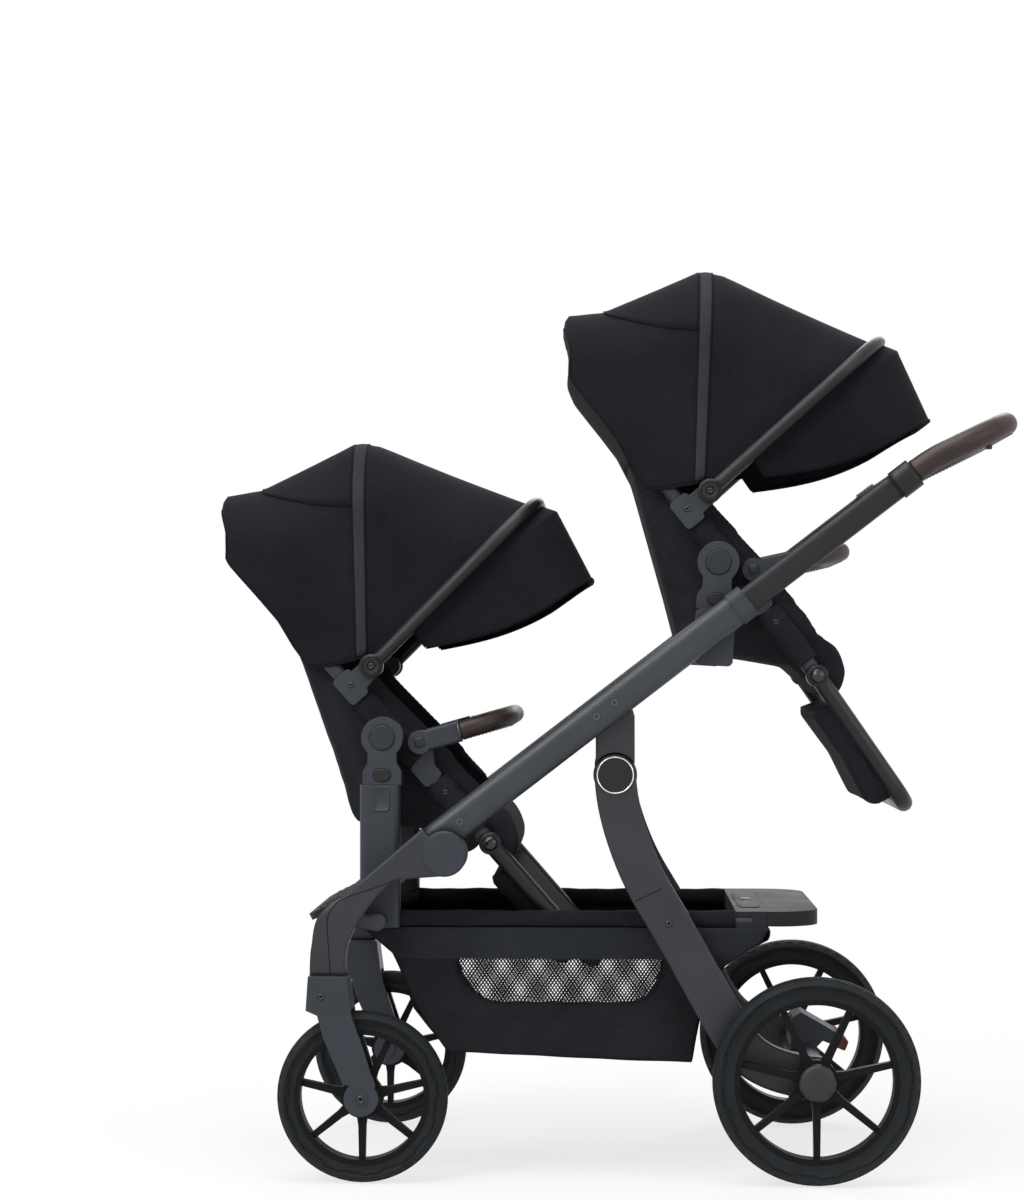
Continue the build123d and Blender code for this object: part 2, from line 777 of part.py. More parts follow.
# Front footrest: a ribbed plate clipped on the cross tube, sloping to the front
slope_x = -cos(radians(footrest_slope))
slope_z = -sin(radians(footrest_slope))
rest_start = (cross_tube[0] - 20, cross_tube[1] - 4)
rest_end = (rest_start[0] + footrest_length * slope_x, rest_start[1] + footrest_length * slope_z)
with BuildPart() as front_footrest:
    plate_plane = Plane(
        origin=(rest_start[0], 0, rest_start[1]), x_dir=(-slope_x, 0, -slope_z), z_dir=(slope_z, 0, -slope_x)
    )
    with BuildSketch(plate_plane):
        with Locations((-footrest_length / 2, 0)):
            RectangleRounded(footrest_length, 2 * footrest_half_width, 34)
        with Locations((-18, 0)):
            Rectangle(36, 2 * footrest_half_width)
    extrude(amount=footrest_thickness)
    with BuildSketch(plate_plane.offset(footrest_thickness)):
        with GridLocations(11, 0, 6, 1):
            with Locations((-footrest_length / 2, 0)):
                Rectangle(4, 2 * footrest_half_width - 70)
    extrude(amount=1.6)
    with BuildSketch(side_view(-footrest_half_width + 30)):
        with BuildLine():
            Polyline(
                (cross_tube[0], cross_tube[1] + 15),
                (rest_start[0] + 2, rest_start[1] + footrest_thickness),
                rest_start,
                (cross_tube[0], cross_tube[1] - 15),
                close=True,
            )
        make_face()
        with Locations(cross_tube):
            Circle(cross_tube_radius + 4)
    extrude(amount=2 * footrest_half_width - 60)
    with BuildSketch(side_view(-footrest_half_width)):
        with Locations(cross_tube):
            Circle(cross_tube_radius)
    extrude(amount=2 * footrest_half_width, mode=Mode.SUBTRACT)
save(front_footrest.part, "front_footrest")

# Rear tray: a front part on the side tubes' ends and a rounded board behind it
tray_bottom_z = tray_top_z - tray_depth
tube_end_x = tray_front_x + 24
with BuildPart() as rear_tray:
    with BuildSketch(Plane.XY.offset(tray_bottom_z)):
        with Locations(((tray_front_x + tray_split_x) / 2, 0)):
            Rectangle(tray_split_x - tray_front_x, 2 * tray_half_width)
    extrude(amount=tray_depth)
    with BuildSketch(across(tray_front_x)):
        with Locations(*side_tube_centres):
            Circle(side_tube_radius)
    extrude(amount=tube_end_x - tray_front_x, mode=Mode.SUBTRACT)
    with BuildSketch(Plane.XY.offset(tray_bottom_z + 5)) as board:
        with Locations(((tray_split_x + part_clearance + tray_rear_x) / 2, 0)):
            Rectangle(tray_rear_x - tray_split_x - part_clearance, 2 * tray_half_width)
        fillet(board.vertices().group_by(Axis.X)[-1], tray_corner_radius)
    extrude(amount=tray_depth - 5)
save(rear_tray.part, "rear_tray")

# Basket: an open fabric bag hemmed round the side tubes, with a net window each side
basket_half = side_tube_half_spacing + side_tube_radius + basket_wall
hem_top = side_tube_z + side_tube_radius + basket_wall
basket_front_x = post_right + part_clearance
basket_rear_x = tray_front_x - part_clearance
basket_floor_z = 161
basket_outline = [
    (basket_front_x, hem_top),
    (basket_front_x, post_foot_z - 1),
    (post_left + 4, post_foot_z - 1),
    (post_left + 4, post_foot_z - 9),
    (-318, 312),
    (-291, 237),
    (-247, 186),
    (-245, 174),
    (36, basket_floor_z + 2),
    (104, basket_floor_z),
    (115, 222),
    (150, 300),
    (215, 334),
    (215, tray_bottom_z - part_clearance),
    (basket_rear_x, tray_bottom_z - part_clearance),
    (basket_rear_x, hem_top),
]
with BuildPart() as basket:
    with BuildSketch(side_view(-basket_half)):
        with BuildLine():
            Polyline(*basket_outline, close=True)
        make_face()
    extrude(amount=2 * basket_half)
    with BuildSketch(side_view(-basket_half + basket_wall)) as inside:
        with BuildLine():
            Polyline(*basket_outline, close=True)
        make_face()
        offset(amount=-basket_floor, kind=Kind.INTERSECTION, mode=Mode.REPLACE)
        with Locations(((basket_front_x + basket_rear_x) / 2, hem_top)):
            Rectangle(basket_rear_x - basket_front_x - 2 * basket_floor, 20)
    extrude(amount=2 * (basket_half - basket_wall), mode=Mode.SUBTRACT)
    with BuildSketch(across(basket_front_x)):
        with Locations(*side_tube_centres):
            Circle(side_tube_radius + basket_wall)
    extrude(amount=basket_rear_x - basket_front_x)
    with BuildSketch(across(basket_front_x - 5)):
        with Locations(*side_tube_centres):
            Circle(side_tube_radius)
    extrude(amount=basket_rear_x - basket_front_x + 10, mode=Mode.SUBTRACT)
    with BuildSketch(side_view(-basket_half - 1)):
        for row in range(net_rows):
            gaps = net_columns - row - 2 * max(row - 2, 0)
            with Locations((net_centre_x, net_top_z - row * net_pitch_z)):
                with GridLocations(net_pitch_x, 0, gaps, 1):
                    RegularPolygon(net_gap / 2, 4)
    extrude(amount=2 * basket_half + 2, mode=Mode.SUBTRACT)
save(basket.part, "basket")

# Seat unit, drawn about the hub axis at (0, 0)
hub = (0, 0)
leg_pivot = (leg_pivot_x, leg_pivot_z)
seat_top = (seat_top_x, seat_top_z)
canopy_pivot = (canopy_pivot_x, canopy_pivot_z)
bumper_pivot = (bumper_pivot_x, bumper_pivot_z)
seat_slope = degrees(atan2(seat_top_z - leg_pivot_z, seat_top_x - leg_pivot_x))
frame_length = hypot(seat_top_x - leg_pivot_x, seat_top_z - leg_pivot_z)
casting_inner = shell_half_width + part_clearance
adapter_outer = adapter_inner + adapter_thickness


def on_frame(along, above=0):
    """Point in side view along the seat's side tube from the leg pivot, and above it."""
    x, z = polar(leg_pivot, along, seat_slope)
    return polar((x, z), above, seat_slope - 90)


def frame_length_to(x, z):
    """Distance along the side tube to the point nearest this one."""
    return (x - leg_pivot_x) * cos(radians(seat_slope)) + (z - leg_pivot_z) * sin(radians(seat_slope))


# Seat adapters: the fixed half of each hub, its neck, and the tongue that plugs in
with BuildPart() as adapters:
    with BuildSketch(side_view(adapter_inner)):
        Circle(hub_ring_radius)
        with BuildLine():
            Polyline(
                (-neck_width / 2, 0),
                (-neck_width / 2, -36),
                (-neck_foot_width / 2, -48),
                (-neck_foot_width / 2, -neck_drop),
                (neck_foot_width / 2, -neck_drop),
                (neck_foot_width / 2, -48),
                (neck_width / 2, -36),
                (neck_width / 2, 0),
                close=True,
            )
        make_face()
    extrude(amount=adapter_thickness)
    with BuildSketch(side_view(adapter_inner + 4)):
        with Locations((0, -neck_drop - tongue_length / 2)):
            Rectangle(tongue_width, tongue_length)
    extrude(amount=adapter_thickness - 8)
    with BuildSketch(side_view(adapter_inner - 13)):
        Circle(hub_pin_radius)
    extrude(amount=14)
    with BuildSketch(side_view(adapter_outer - button_depth)):
        Circle(hub_button_radius + part_clearance)
        with Locations((0, -release_button_drop)):
            SlotOverall(release_button_length + 2 * part_clearance, release_button_height + 2 * part_clearance)
    extrude(amount=button_depth, mode=Mode.SUBTRACT)
    mirror(about=Plane.XZ)

# Seat frame: one bent tube with the castings clamped on it
with BuildPart() as seat_frame:
    with BuildLine() as frame_line:
        FilletPolyline(
            (leg_pivot_x, -seat_tube_half_spacing, leg_pivot_z),
            (seat_top_x, -seat_tube_half_spacing, seat_top_z),
            (seat_top_x, 0, seat_top_z),
            radius=seat_bend_radius,
        )
    with BuildSketch(Plane(origin=frame_line.line @ 0, z_dir=frame_line.line % 0)):
        Circle(seat_tube_radius)
    sweep(path=frame_line.line)
    with BuildSketch(side_view(casting_inner)):
        Circle(hub_ring_radius - 1)
    extrude(amount=adapter_inner - part_clearance - casting_inner)
    with BuildSketch(side_view(casting_inner)):
        with Locations(Location((*on_frame(frame_length_to(-47, 72)), 0), (0, 0, seat_slope))):
            RectangleRounded(46, 2 * seat_tube_radius + 9, 6)
        with BuildLine():
            Polyline(
                polar(canopy_pivot, 14, 135),
                polar(canopy_pivot, 14, -45),
                on_frame(frame_length_to(-47, 72) - 18, 6),
                on_frame(frame_length_to(-47, 72) + 16, 6),
                close=True,
            )
        make_face()
        with Locations(canopy_pivot):
            Circle(15)
    extrude(amount=bow_half_spacing - 7 - part_clearance - casting_inner)
    with BuildSketch(side_view(bow_half_spacing - 8)):
        with Locations(canopy_pivot):
            Circle(5)
    extrude(amount=14)
    with BuildSketch(side_view(casting_inner)):
        with Locations(Location((*on_frame(frame_length_to(62, -48)), 0), (0, 0, seat_slope))):
            RectangleRounded(38, 2 * seat_tube_radius + 8, 6)
        with Locations(bumper_pivot):
            Circle(17)
        with BuildLine():
            Polyline(
                polar(bumper_pivot, 17, 195),
                polar(bumper_pivot, 17, 15),
                on_frame(frame_length_to(62, -48) - 17, 4),
                on_frame(frame_length_to(62, -48) + 17, 4),
                close=True,
            )
        make_face()
    extrude(amount=bumper_half_spacing - bumper_eye_half - part_clearance - casting_inner)
    with BuildSketch(side_view(bumper_half_spacing - bumper_eye_half - 2)):
        with Locations(bumper_pivot):
            Circle(5)
    extrude(amount=2 * bumper_eye_half)
    with BuildSketch(side_view(casting_inner)):
        with Locations(leg_pivot):
            Circle(leg_eye_radius)
    extrude(amount=seat_tube_half_spacing - part_clearance - casting_inner)
    with BuildSketch(side_view(seat_tube_half_spacing - part_clearance)):
        with Locations(leg_pivot):
            Circle(leg_eye_radius + 2 * part_clearance)
    extrude(amount=20, mode=Mode.SUBTRACT)
    with BuildSketch(side_view(casting_inner - 1)):
        with Locations(leg_pivot):
            Circle(5 + running_clearance)
    extrude(amount=20, mode=Mode.SUBTRACT)
    with BuildSketch(side_view(adapter_inner - 14)):
        Circle(hub_pin_radius + running_clearance)
    extrude(amount=16, mode=Mode.SUBTRACT)
    mirror(about=Plane.XZ)

# Seat pad: the padded bucket between the side tubes
shell_back = [(-180, 219), (-125, 126), (-44, -108)]
shell_front = [(141, -67), (98, -16), (63, 21), (12, 73), (-60, 150), (-148, 246)]
knee_start = polar(leg_pivot, knee_radius, -50)
knee_end = polar(leg_pivot, knee_radius, 75)
seat_level = -131 + shell_thickness
back_run = hypot(81, 234)
back_u = (-81 / back_run, 234 / back_run)
back_n = (back_u[1], -back_u[0])
inner_drop = (shell_back[2][1] + shell_thickness * back_n[1] - seat_level) / back_u[1]
inner_low = (shell_back[2][0] + shell_thickness * back_n[0] - inner_drop * back_u[0], seat_level)
inner_mid = (shell_back[1][0] + shell_thickness * back_n[0], shell_back[1][1] + shell_thickness * back_n[1])
inner_top = (shell_back[0][0] + shell_thickness * back_n[0] - 16, shell_back[0][1] + shell_thickness * back_n[1] + 30)
with BuildPart() as seat_pad:
    with BuildSketch(side_view(0)):
        with BuildLine():
            Polyline(*shell_back, (-34, -122), (66, -131), (118, -137), knee_start)
            ThreePointArc(knee_start, polar(leg_pivot, knee_radius, 12), knee_end)
            Polyline(knee_end, *shell_front, shell_back[0])
        make_face()
    extrude(amount=shell_half_width)
    with BuildSketch(side_view(0)):
        with BuildLine():
            Polyline(
                inner_low,
                inner_mid,
                inner_top,
                (-100, 340),
                (260, 200),
                (260, seat_level),
                close=True,
            )
        make_face()
        for share in (0.3, 0.6, 0.9):
            with Locations(
                (
                    inner_low[0] + share * (inner_mid[0] - inner_low[0]),
                    inner_low[1] + share * (inner_mid[1] - inner_low[1]),
                )
            ):
                Circle(3)
        with Locations((30, seat_level), (75, seat_level), (120, seat_level)):
            Circle(3)
    extrude(amount=shell_half_width - shell_wall, mode=Mode.SUBTRACT)
    mirror(about=Plane.XZ)

# Harness: shoulder straps, waist strap, crotch strap and buckle, lying on the pad
back_plane = Plane(
    origin=(inner_low[0] + part_clearance * back_n[0], 0, inner_low[1] + part_clearance * back_n[1]),
    x_dir=(0, 1, 0),
    z_dir=(back_n[0], 0, back_n[1]),
)
with BuildPart() as harness:
    with BuildSketch(back_plane):
        with Locations((52, 150), (-52, 150)):
            Rectangle(strap_width, 190)
        with Locations((0, 62)):
            Rectangle(2 * (shell_half_width - shell_wall) - 12, strap_width)
    extrude(amount=strap_thickness)
    with BuildSketch(back_plane.offset(strap_thickness)):
        with Locations((52, 176), (-52, 176)):
            RectangleRounded(strap_width + 12, 110, 10)
        with Locations((0, 62)):
            RectangleRounded(58, 58, 12)
    extrude(amount=9)
    with BuildSketch(Plane.XY.offset(seat_level + part_clearance)):
        with Locations((30, 0)):
            Rectangle(76, strap_width)
    extrude(amount=strap_thickness)
    with BuildSketch(side_view(-strap_width / 2)):
        with BuildLine():
            Polyline(
                (2, seat_level + part_clearance),
                (8, seat_level + part_clearance),
                (inner_low[0] + 62 * back_u[0] + 12, inner_low[1] + 62 * back_u[1]),
                (inner_low[0] + 62 * back_u[0] + 5, inner_low[1] + 62 * back_u[1]),
                close=True,
            )
        make_face()
    extrude(amount=strap_width)


def arch_plane(foot, tip):
    """Plane through two side-view points and square to the side view."""
    angle = atan2(tip[1] - foot[1], tip[0] - foot[0])
    return Plane(origin=(foot[0], 0, foot[1]), x_dir=(0, 1, 0), z_dir=(sin(angle), 0, -cos(angle)))


def arch(foot, tip, half_width, corner, inset):
    """Face of one hoop of the canopy, closed at its foot, drawn inside by an inset."""
    height = hypot(tip[0] - foot[0], tip[1] - foot[1])
    with BuildSketch() as hoop:
        Rectangle(2 * (half_width - inset), height - inset, align=(Align.CENTER, Align.MIN))
        fillet(hoop.vertices().group_by(Axis.Y)[-1], corner - inset)
    return hoop.sketch


# Canopy: fabric stretched over hoops from the seat's top to the front bow, open below
bow_tip = polar(canopy_pivot, bow_reach, bow_angle)
fabric_reach = bow_reach - bow_radius - part_clearance
fabric_corner = bow_corner - bow_radius
canopy_hoops = [
    ((-106, 101), (-234, 350), canopy_half_width, canopy_corner - 8),
    ((-36, 121), (-38, 425), canopy_half_width, canopy_corner),
    (polar(canopy_pivot, 22, bow_angle), polar(canopy_pivot, fabric_reach, bow_angle), canopy_half_width, fabric_corner),
]
with BuildPart() as canopy:
    for hoop in canopy_hoops:
        with BuildSketch(arch_plane(hoop[0], hoop[1])):
            add(arch(*hoop, 0))
    loft(ruled=True)
    for hoop in canopy_hoops:
        with BuildSketch(arch_plane(hoop[0], hoop[1])):
            add(arch(*hoop, canopy_wall))
    loft(ruled=True, mode=Mode.SUBTRACT)

# Front bow of the canopy: one bent tube with a flat eye at each end
with BuildPart() as canopy_bow:
    eye_end = polar(canopy_pivot, 10, bow_angle)
    with BuildLine() as bow_line:
        FilletPolyline(
            (eye_end[0], -bow_half_spacing, eye_end[1]),
            (bow_tip[0], -bow_half_spacing, bow_tip[1]),
            (bow_tip[0], 0, bow_tip[1]),
            radius=bow_corner,
        )
    with BuildSketch(Plane(origin=bow_line.line @ 0, z_dir=bow_line.line % 0)):
        Circle(bow_radius)
    sweep(path=bow_line.line)
    with BuildSketch(side_view(bow_half_spacing - 10)):
        with Locations(canopy_pivot):
            Circle(leg_eye_radius + 1)
    extrude(amount=20, mode=Mode.SUBTRACT)
    with BuildSketch(side_view(bow_half_spacing - 7)):
        with Locations(canopy_pivot):
            Circle(leg_eye_radius + 1.2)
            Circle(5 + running_clearance, mode=Mode.SUBTRACT)
    extrude(amount=14)
    mirror(about=Plane.XZ)

# Visor: the stiff front panel of the canopy, sewn to the bow
with BuildPart() as canopy_visor:
    visor_hoops = [
        (
            polar(polar(canopy_pivot, 60, bow_angle), 1, bow_angle - 90),
            polar(polar(canopy_pivot, fabric_reach, bow_angle), 1, bow_angle - 90),
            canopy_half_width,
            fabric_corner,
        ),
        ((visor_foot_x, visor_foot_z), (visor_tip_x, visor_tip_z), canopy_half_width - 6, 88),
    ]
    for hoop in visor_hoops:
        with BuildSketch(arch_plane(hoop[0], hoop[1])):
            add(arch(*hoop, 0))
    loft(ruled=True)
    for hoop in visor_hoops:
        with BuildSketch(arch_plane(hoop[0], hoop[1])):
            add(arch(*hoop, canopy_wall))
    loft(ruled=True, mode=Mode.SUBTRACT)

# Bumper bar: an eye and a socket at each end of one bent tube
bumper_tip = polar(bumper_pivot, bumper_reach, bumper_slope)


def bumper_route(start):
    """Half of the bumper bar's route from a distance along its arm."""
    x, z = polar(bumper_pivot, start, bumper_slope)
    return [
        (x, -bumper_half_spacing, z),
        (bumper_tip[0], -bumper_half_spacing, bumper_tip[1]),
        (bumper_tip[0], 0, bumper_tip[1]),
    ]


bumper_section = Plane(
    origin=bumper_route(0)[0], x_dir=(0, 1, 0), z_dir=(cos(radians(bumper_slope)), 0, sin(radians(bumper_slope)))
)
with BuildPart() as bumper_bar:
    with BuildLine() as bumper_line:
        FilletPolyline(*bumper_route(14), radius=bumper_corner)
    with BuildSketch(bumper_section.offset(14)):
        Circle(bumper_tube_radius)
    sweep(path=bumper_line.line)
    with BuildSketch(bumper_section.offset(13)):
        RectangleRounded(2 * bumper_eye_half, 2 * bumper_grip_radius + 4, 5)
    extrude(amount=bumper_grip_start - 13 - part_clearance)
    with BuildSketch(side_view(bumper_half_spacing - bumper_eye_half)):
        with Locations(bumper_pivot):
            Circle(17)
    extrude(amount=2 * bumper_eye_half)
    with BuildSketch(side_view(bumper_half_spacing - bumper_eye_half - 1)):
        with Locations(bumper_pivot):
            Circle(5 + running_clearance)
    extrude(amount=2 * bumper_eye_half + 2, mode=Mode.SUBTRACT)
    mirror(about=Plane.XZ)

# Leather sleeve of the bumper bar
with BuildPart() as bumper_grip:
    with BuildLine() as sleeve_line:
        FilletPolyline(*bumper_route(bumper_grip_start), radius=bumper_corner)
    with BuildSketch(bumper_section.offset(bumper_grip_start)):
        Circle(bumper_grip_radius)
        Circle(bumper_tube_radius, mode=Mode.SUBTRACT)
    sweep(path=sleeve_line.line)
    mirror(about=Plane.XZ)

# Leg rest: a bent tube hinged on the seat tube's ends, and the pad laid on it
leg_end = polar(leg_pivot, leg_rest_length, leg_rest_angle)
leg_u = (cos(radians(leg_rest_angle)), sin(radians(leg_rest_angle)))
with BuildPart() as leg_rest:
    with BuildLine() as leg_line:
        FilletPolyline(
            (leg_pivot_x, -leg_tube_half_spacing, leg_pivot_z),
            (leg_end[0], -leg_tube_half_spacing, leg_end[1]),
            (leg_end[0], 0, leg_end[1]),
            radius=leg_bend_radius,
        )
    with BuildSketch(Plane(origin=leg_line.line @ 0, z_dir=leg_line.line % 0)):
        Circle(leg_tube_radius)
    sweep(path=leg_line.line)
    with BuildSketch(side_view(casting_inner - 1)):
        with Locations(leg_pivot):
            Circle(leg_eye_radius + 2 * part_clearance)
    extrude(amount=seat_tube_half_spacing - casting_inner + 1, mode=Mode.SUBTRACT)
    with BuildSketch(side_view(seat_tube_half_spacing)):
        with Locations(leg_pivot):
            Circle(leg_eye_radius)
    extrude(amount=14)
    with BuildSketch(side_view(casting_inner + 1)):
        with Locations(leg_pivot):
            Circle(5)
    extrude(amount=14)
    mirror(about=Plane.XZ)

leg_plane = Plane(
    origin=(leg_pivot_x, 0, leg_pivot_z), x_dir=(leg_u[0], 0, leg_u[1]), z_dir=(-leg_u[1], 0, leg_u[0])
)
leg_pad_half = leg_tube_half_spacing - leg_tube_radius - leg_pad_gap
leg_pad_end = leg_rest_length - leg_tube_radius - leg_pad_gap
leg_pad_corner = leg_bend_radius - leg_tube_radius
leg_pad_outline = [
    (24, 5),
    (leg_pad_end - 6, 5),
    (leg_pad_end, -6),
    (leg_pad_end - 4, -34),
    (196, -42),
    (120, -32),
    (30, -34),
]
leg_pad_side = Plane(
    origin=(leg_pivot_x, leg_pad_half, leg_pivot_z), x_dir=(leg_u[0], 0, leg_u[1]), z_dir=(0, -1, 0)
)
with BuildPart() as leg_pad:
    with BuildSketch(leg_pad_side):
        with BuildLine():
            Polyline(*leg_pad_outline, close=True)
        make_face()
    extrude(amount=2 * leg_pad_half)
    with BuildSketch(leg_plane.offset(-60)):
        with Locations((leg_pad_end, leg_pad_half), (leg_pad_end, -leg_pad_half)):
            Rectangle(2 * leg_pad_corner, 2 * leg_pad_corner)
        with Locations(
            (leg_pad_end - leg_pad_corner, leg_pad_half - leg_pad_corner),
            (leg_pad_end - leg_pad_corner, leg_pad_corner - leg_pad_half),
        ):
            Circle(leg_pad_corner, mode=Mode.SUBTRACT)
    extrude(amount=80, mode=Mode.SUBTRACT)
    with BuildSketch(side_view(-leg_pad_half - 1)):
        with Locations(leg_pivot):
            Circle(knee_radius + 2 * part_clearance)
    extrude(amount=2 * leg_pad_half + 2, mode=Mode.SUBTRACT)

# Push buttons of the near side
with BuildPart() as hub_button:
    with BuildSketch(side_view(adapter_outer - button_depth + hub_button_travel + part_clearance)):
        Circle(hub_button_radius)
    extrude(amount=button_depth - hub_button_travel - part_clearance + button_stand)
    fillet(hub_button.edges().group_by(Axis.Y)[0], 2)
with BuildPart() as release_button:
    with BuildSketch(side_view(adapter_outer - button_depth + release_button_travel + part_clearance)):
        with Locations((0, -release_button_drop)):
            SlotOverall(release_button_length, release_button_height)
    extrude(amount=button_depth - release_button_travel - part_clearance + button_stand)
    fillet(release_button.edges().group_by(Axis.Y)[0], 1.5)


# Sockets of the upper seat, drawn about its hub and fixed to the rails' inner faces
with BuildPart() as sockets:
    with BuildSketch(side_view(post_inner)):
        with Locations((0, -neck_drop - socket_length / 2)):
            RectangleRounded(neck_foot_width, socket_length, 8)
    extrude(amount=rail_inner_face - post_inner)
    with BuildSketch(side_view(adapter_inner + 4 - part_clearance)):
        with Locations((0, -neck_drop - (tongue_length + part_clearance) / 2)):
            Rectangle(tongue_width + 2 * part_clearance, tongue_length + part_clearance)
    extrude(amount=adapter_thickness - 8 + 2 * part_clearance, mode=Mode.SUBTRACT)
    mirror(about=Plane.XZ)

# Screws through the rails into the knuckles and the leg brackets
screw_points = [rail_point(44), rail_point(286), rail_point(318)]
with BuildPart() as frame_screws:
    with BuildSketch(side_view(rail_half_spacing + rail_width / 2)):
        with Locations(*screw_points):
            Circle(screw_head_radius)
            RegularPolygon(2.5, 6, mode=Mode.SUBTRACT)
    extrude(amount=1.6)
    mirror(about=Plane.XZ)
save(frame_screws.part, "frame_screws")


def seat_place(x, z, tilt):
    """Placement of a seat unit's own frame in the pram."""
    turn = radians(tilt)
    return Plane(origin=(x, 0, z), x_dir=(cos(turn), 0, sin(turn)), z_dir=(-sin(turn), 0, cos(turn))).location


seat_pieces = {
    "adapters": adapters.part,
    "seat_frame": seat_frame.part,
    "seat_pad": seat_pad.part,
    "harness": harness.part,
    "canopy": canopy.part,
    "canopy_bow": canopy_bow.part,
    "canopy_visor": canopy_visor.part,
    "bumper_bar": bumper_bar.part,
    "bumper_grip": bumper_grip.part,
    "hub_button_left": hub_button.part,
    "hub_button_right": mirror(hub_button.part, about=Plane.XZ),
    "release_button_left": release_button.part,
    "release_button_right": mirror(release_button.part, about=Plane.XZ),
}
leg_pieces = {"leg_rest": leg_rest.part, "leg_pad": leg_pad.part}
seats = {
    "lower": (seat_place(lower_hub_x, lower_hub_z, lower_tilt), 0),
    "upper": (seat_place(upper_hub_x, upper_hub_z, upper_tilt), upper_leg_drop),
}
save(sockets.part.moved(seats["upper"][0]), "upper_seat_sockets")
for level, (place, leg_drop) in seats.items():
    for name, piece in seat_pieces.items():
        save(piece.moved(place), f"{level}_{name}")
    about_pivot = Pos(leg_pivot_x, 0, leg_pivot_z) * Rot(0, -leg_drop, 0) * Pos(-leg_pivot_x, 0, -leg_pivot_z)
    for name, piece in leg_pieces.items():
        save(piece.moved(place * about_pivot), f"{level}_{name}")
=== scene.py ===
import math

import bmesh
import bpy
import numpy as np
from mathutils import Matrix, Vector


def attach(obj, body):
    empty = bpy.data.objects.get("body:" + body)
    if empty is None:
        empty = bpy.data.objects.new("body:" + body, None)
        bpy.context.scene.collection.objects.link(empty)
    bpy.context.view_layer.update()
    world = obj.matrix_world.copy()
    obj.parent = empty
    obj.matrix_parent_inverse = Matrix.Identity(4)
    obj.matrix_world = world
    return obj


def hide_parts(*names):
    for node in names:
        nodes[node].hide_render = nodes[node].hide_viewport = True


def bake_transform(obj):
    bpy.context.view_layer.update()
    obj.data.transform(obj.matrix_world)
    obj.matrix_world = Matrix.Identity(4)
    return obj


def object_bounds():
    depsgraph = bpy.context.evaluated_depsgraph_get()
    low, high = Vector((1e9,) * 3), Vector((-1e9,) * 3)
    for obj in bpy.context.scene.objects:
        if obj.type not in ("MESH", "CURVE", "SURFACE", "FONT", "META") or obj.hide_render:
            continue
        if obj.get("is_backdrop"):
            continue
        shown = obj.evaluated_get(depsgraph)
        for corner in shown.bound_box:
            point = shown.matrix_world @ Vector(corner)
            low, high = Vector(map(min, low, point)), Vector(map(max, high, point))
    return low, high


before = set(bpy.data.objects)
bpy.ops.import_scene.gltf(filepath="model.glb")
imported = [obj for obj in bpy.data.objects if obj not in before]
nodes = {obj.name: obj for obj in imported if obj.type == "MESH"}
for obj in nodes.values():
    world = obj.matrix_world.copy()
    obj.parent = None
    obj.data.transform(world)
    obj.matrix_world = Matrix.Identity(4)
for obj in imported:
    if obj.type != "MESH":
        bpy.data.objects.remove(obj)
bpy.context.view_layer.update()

# Studio: a white floor and surround, large soft lamps above and in front,
# and a long-lens camera square to the pram's near side.
scene = bpy.context.scene
scene.view_settings.view_transform = "Standard"


class Value:
    """One output socket of a material, with the arithmetic that adds Math nodes."""

    def __init__(self, finish, socket):
        self.finish = finish
        self.socket = socket

    def math(self, operation, *others):
        return self.finish.node("ShaderNodeMath", {"operation": operation}, *others)

    def __add__(self, other):
        return self.math("ADD", self, other)

    def __sub__(self, other):
        return self.math("SUBTRACT", self, other)

    def __mul__(self, other):
        return self.math("MULTIPLY", self, other)

    def __truediv__(self, other):
        return self.math("DIVIDE", self, other)

    def __rsub__(self, other):
        return self.math("SUBTRACT", other, self)

    def __pow__(self, other):
        return self.math("POWER", self, other)

    __radd__ = __add__
    __rmul__ = __mul__


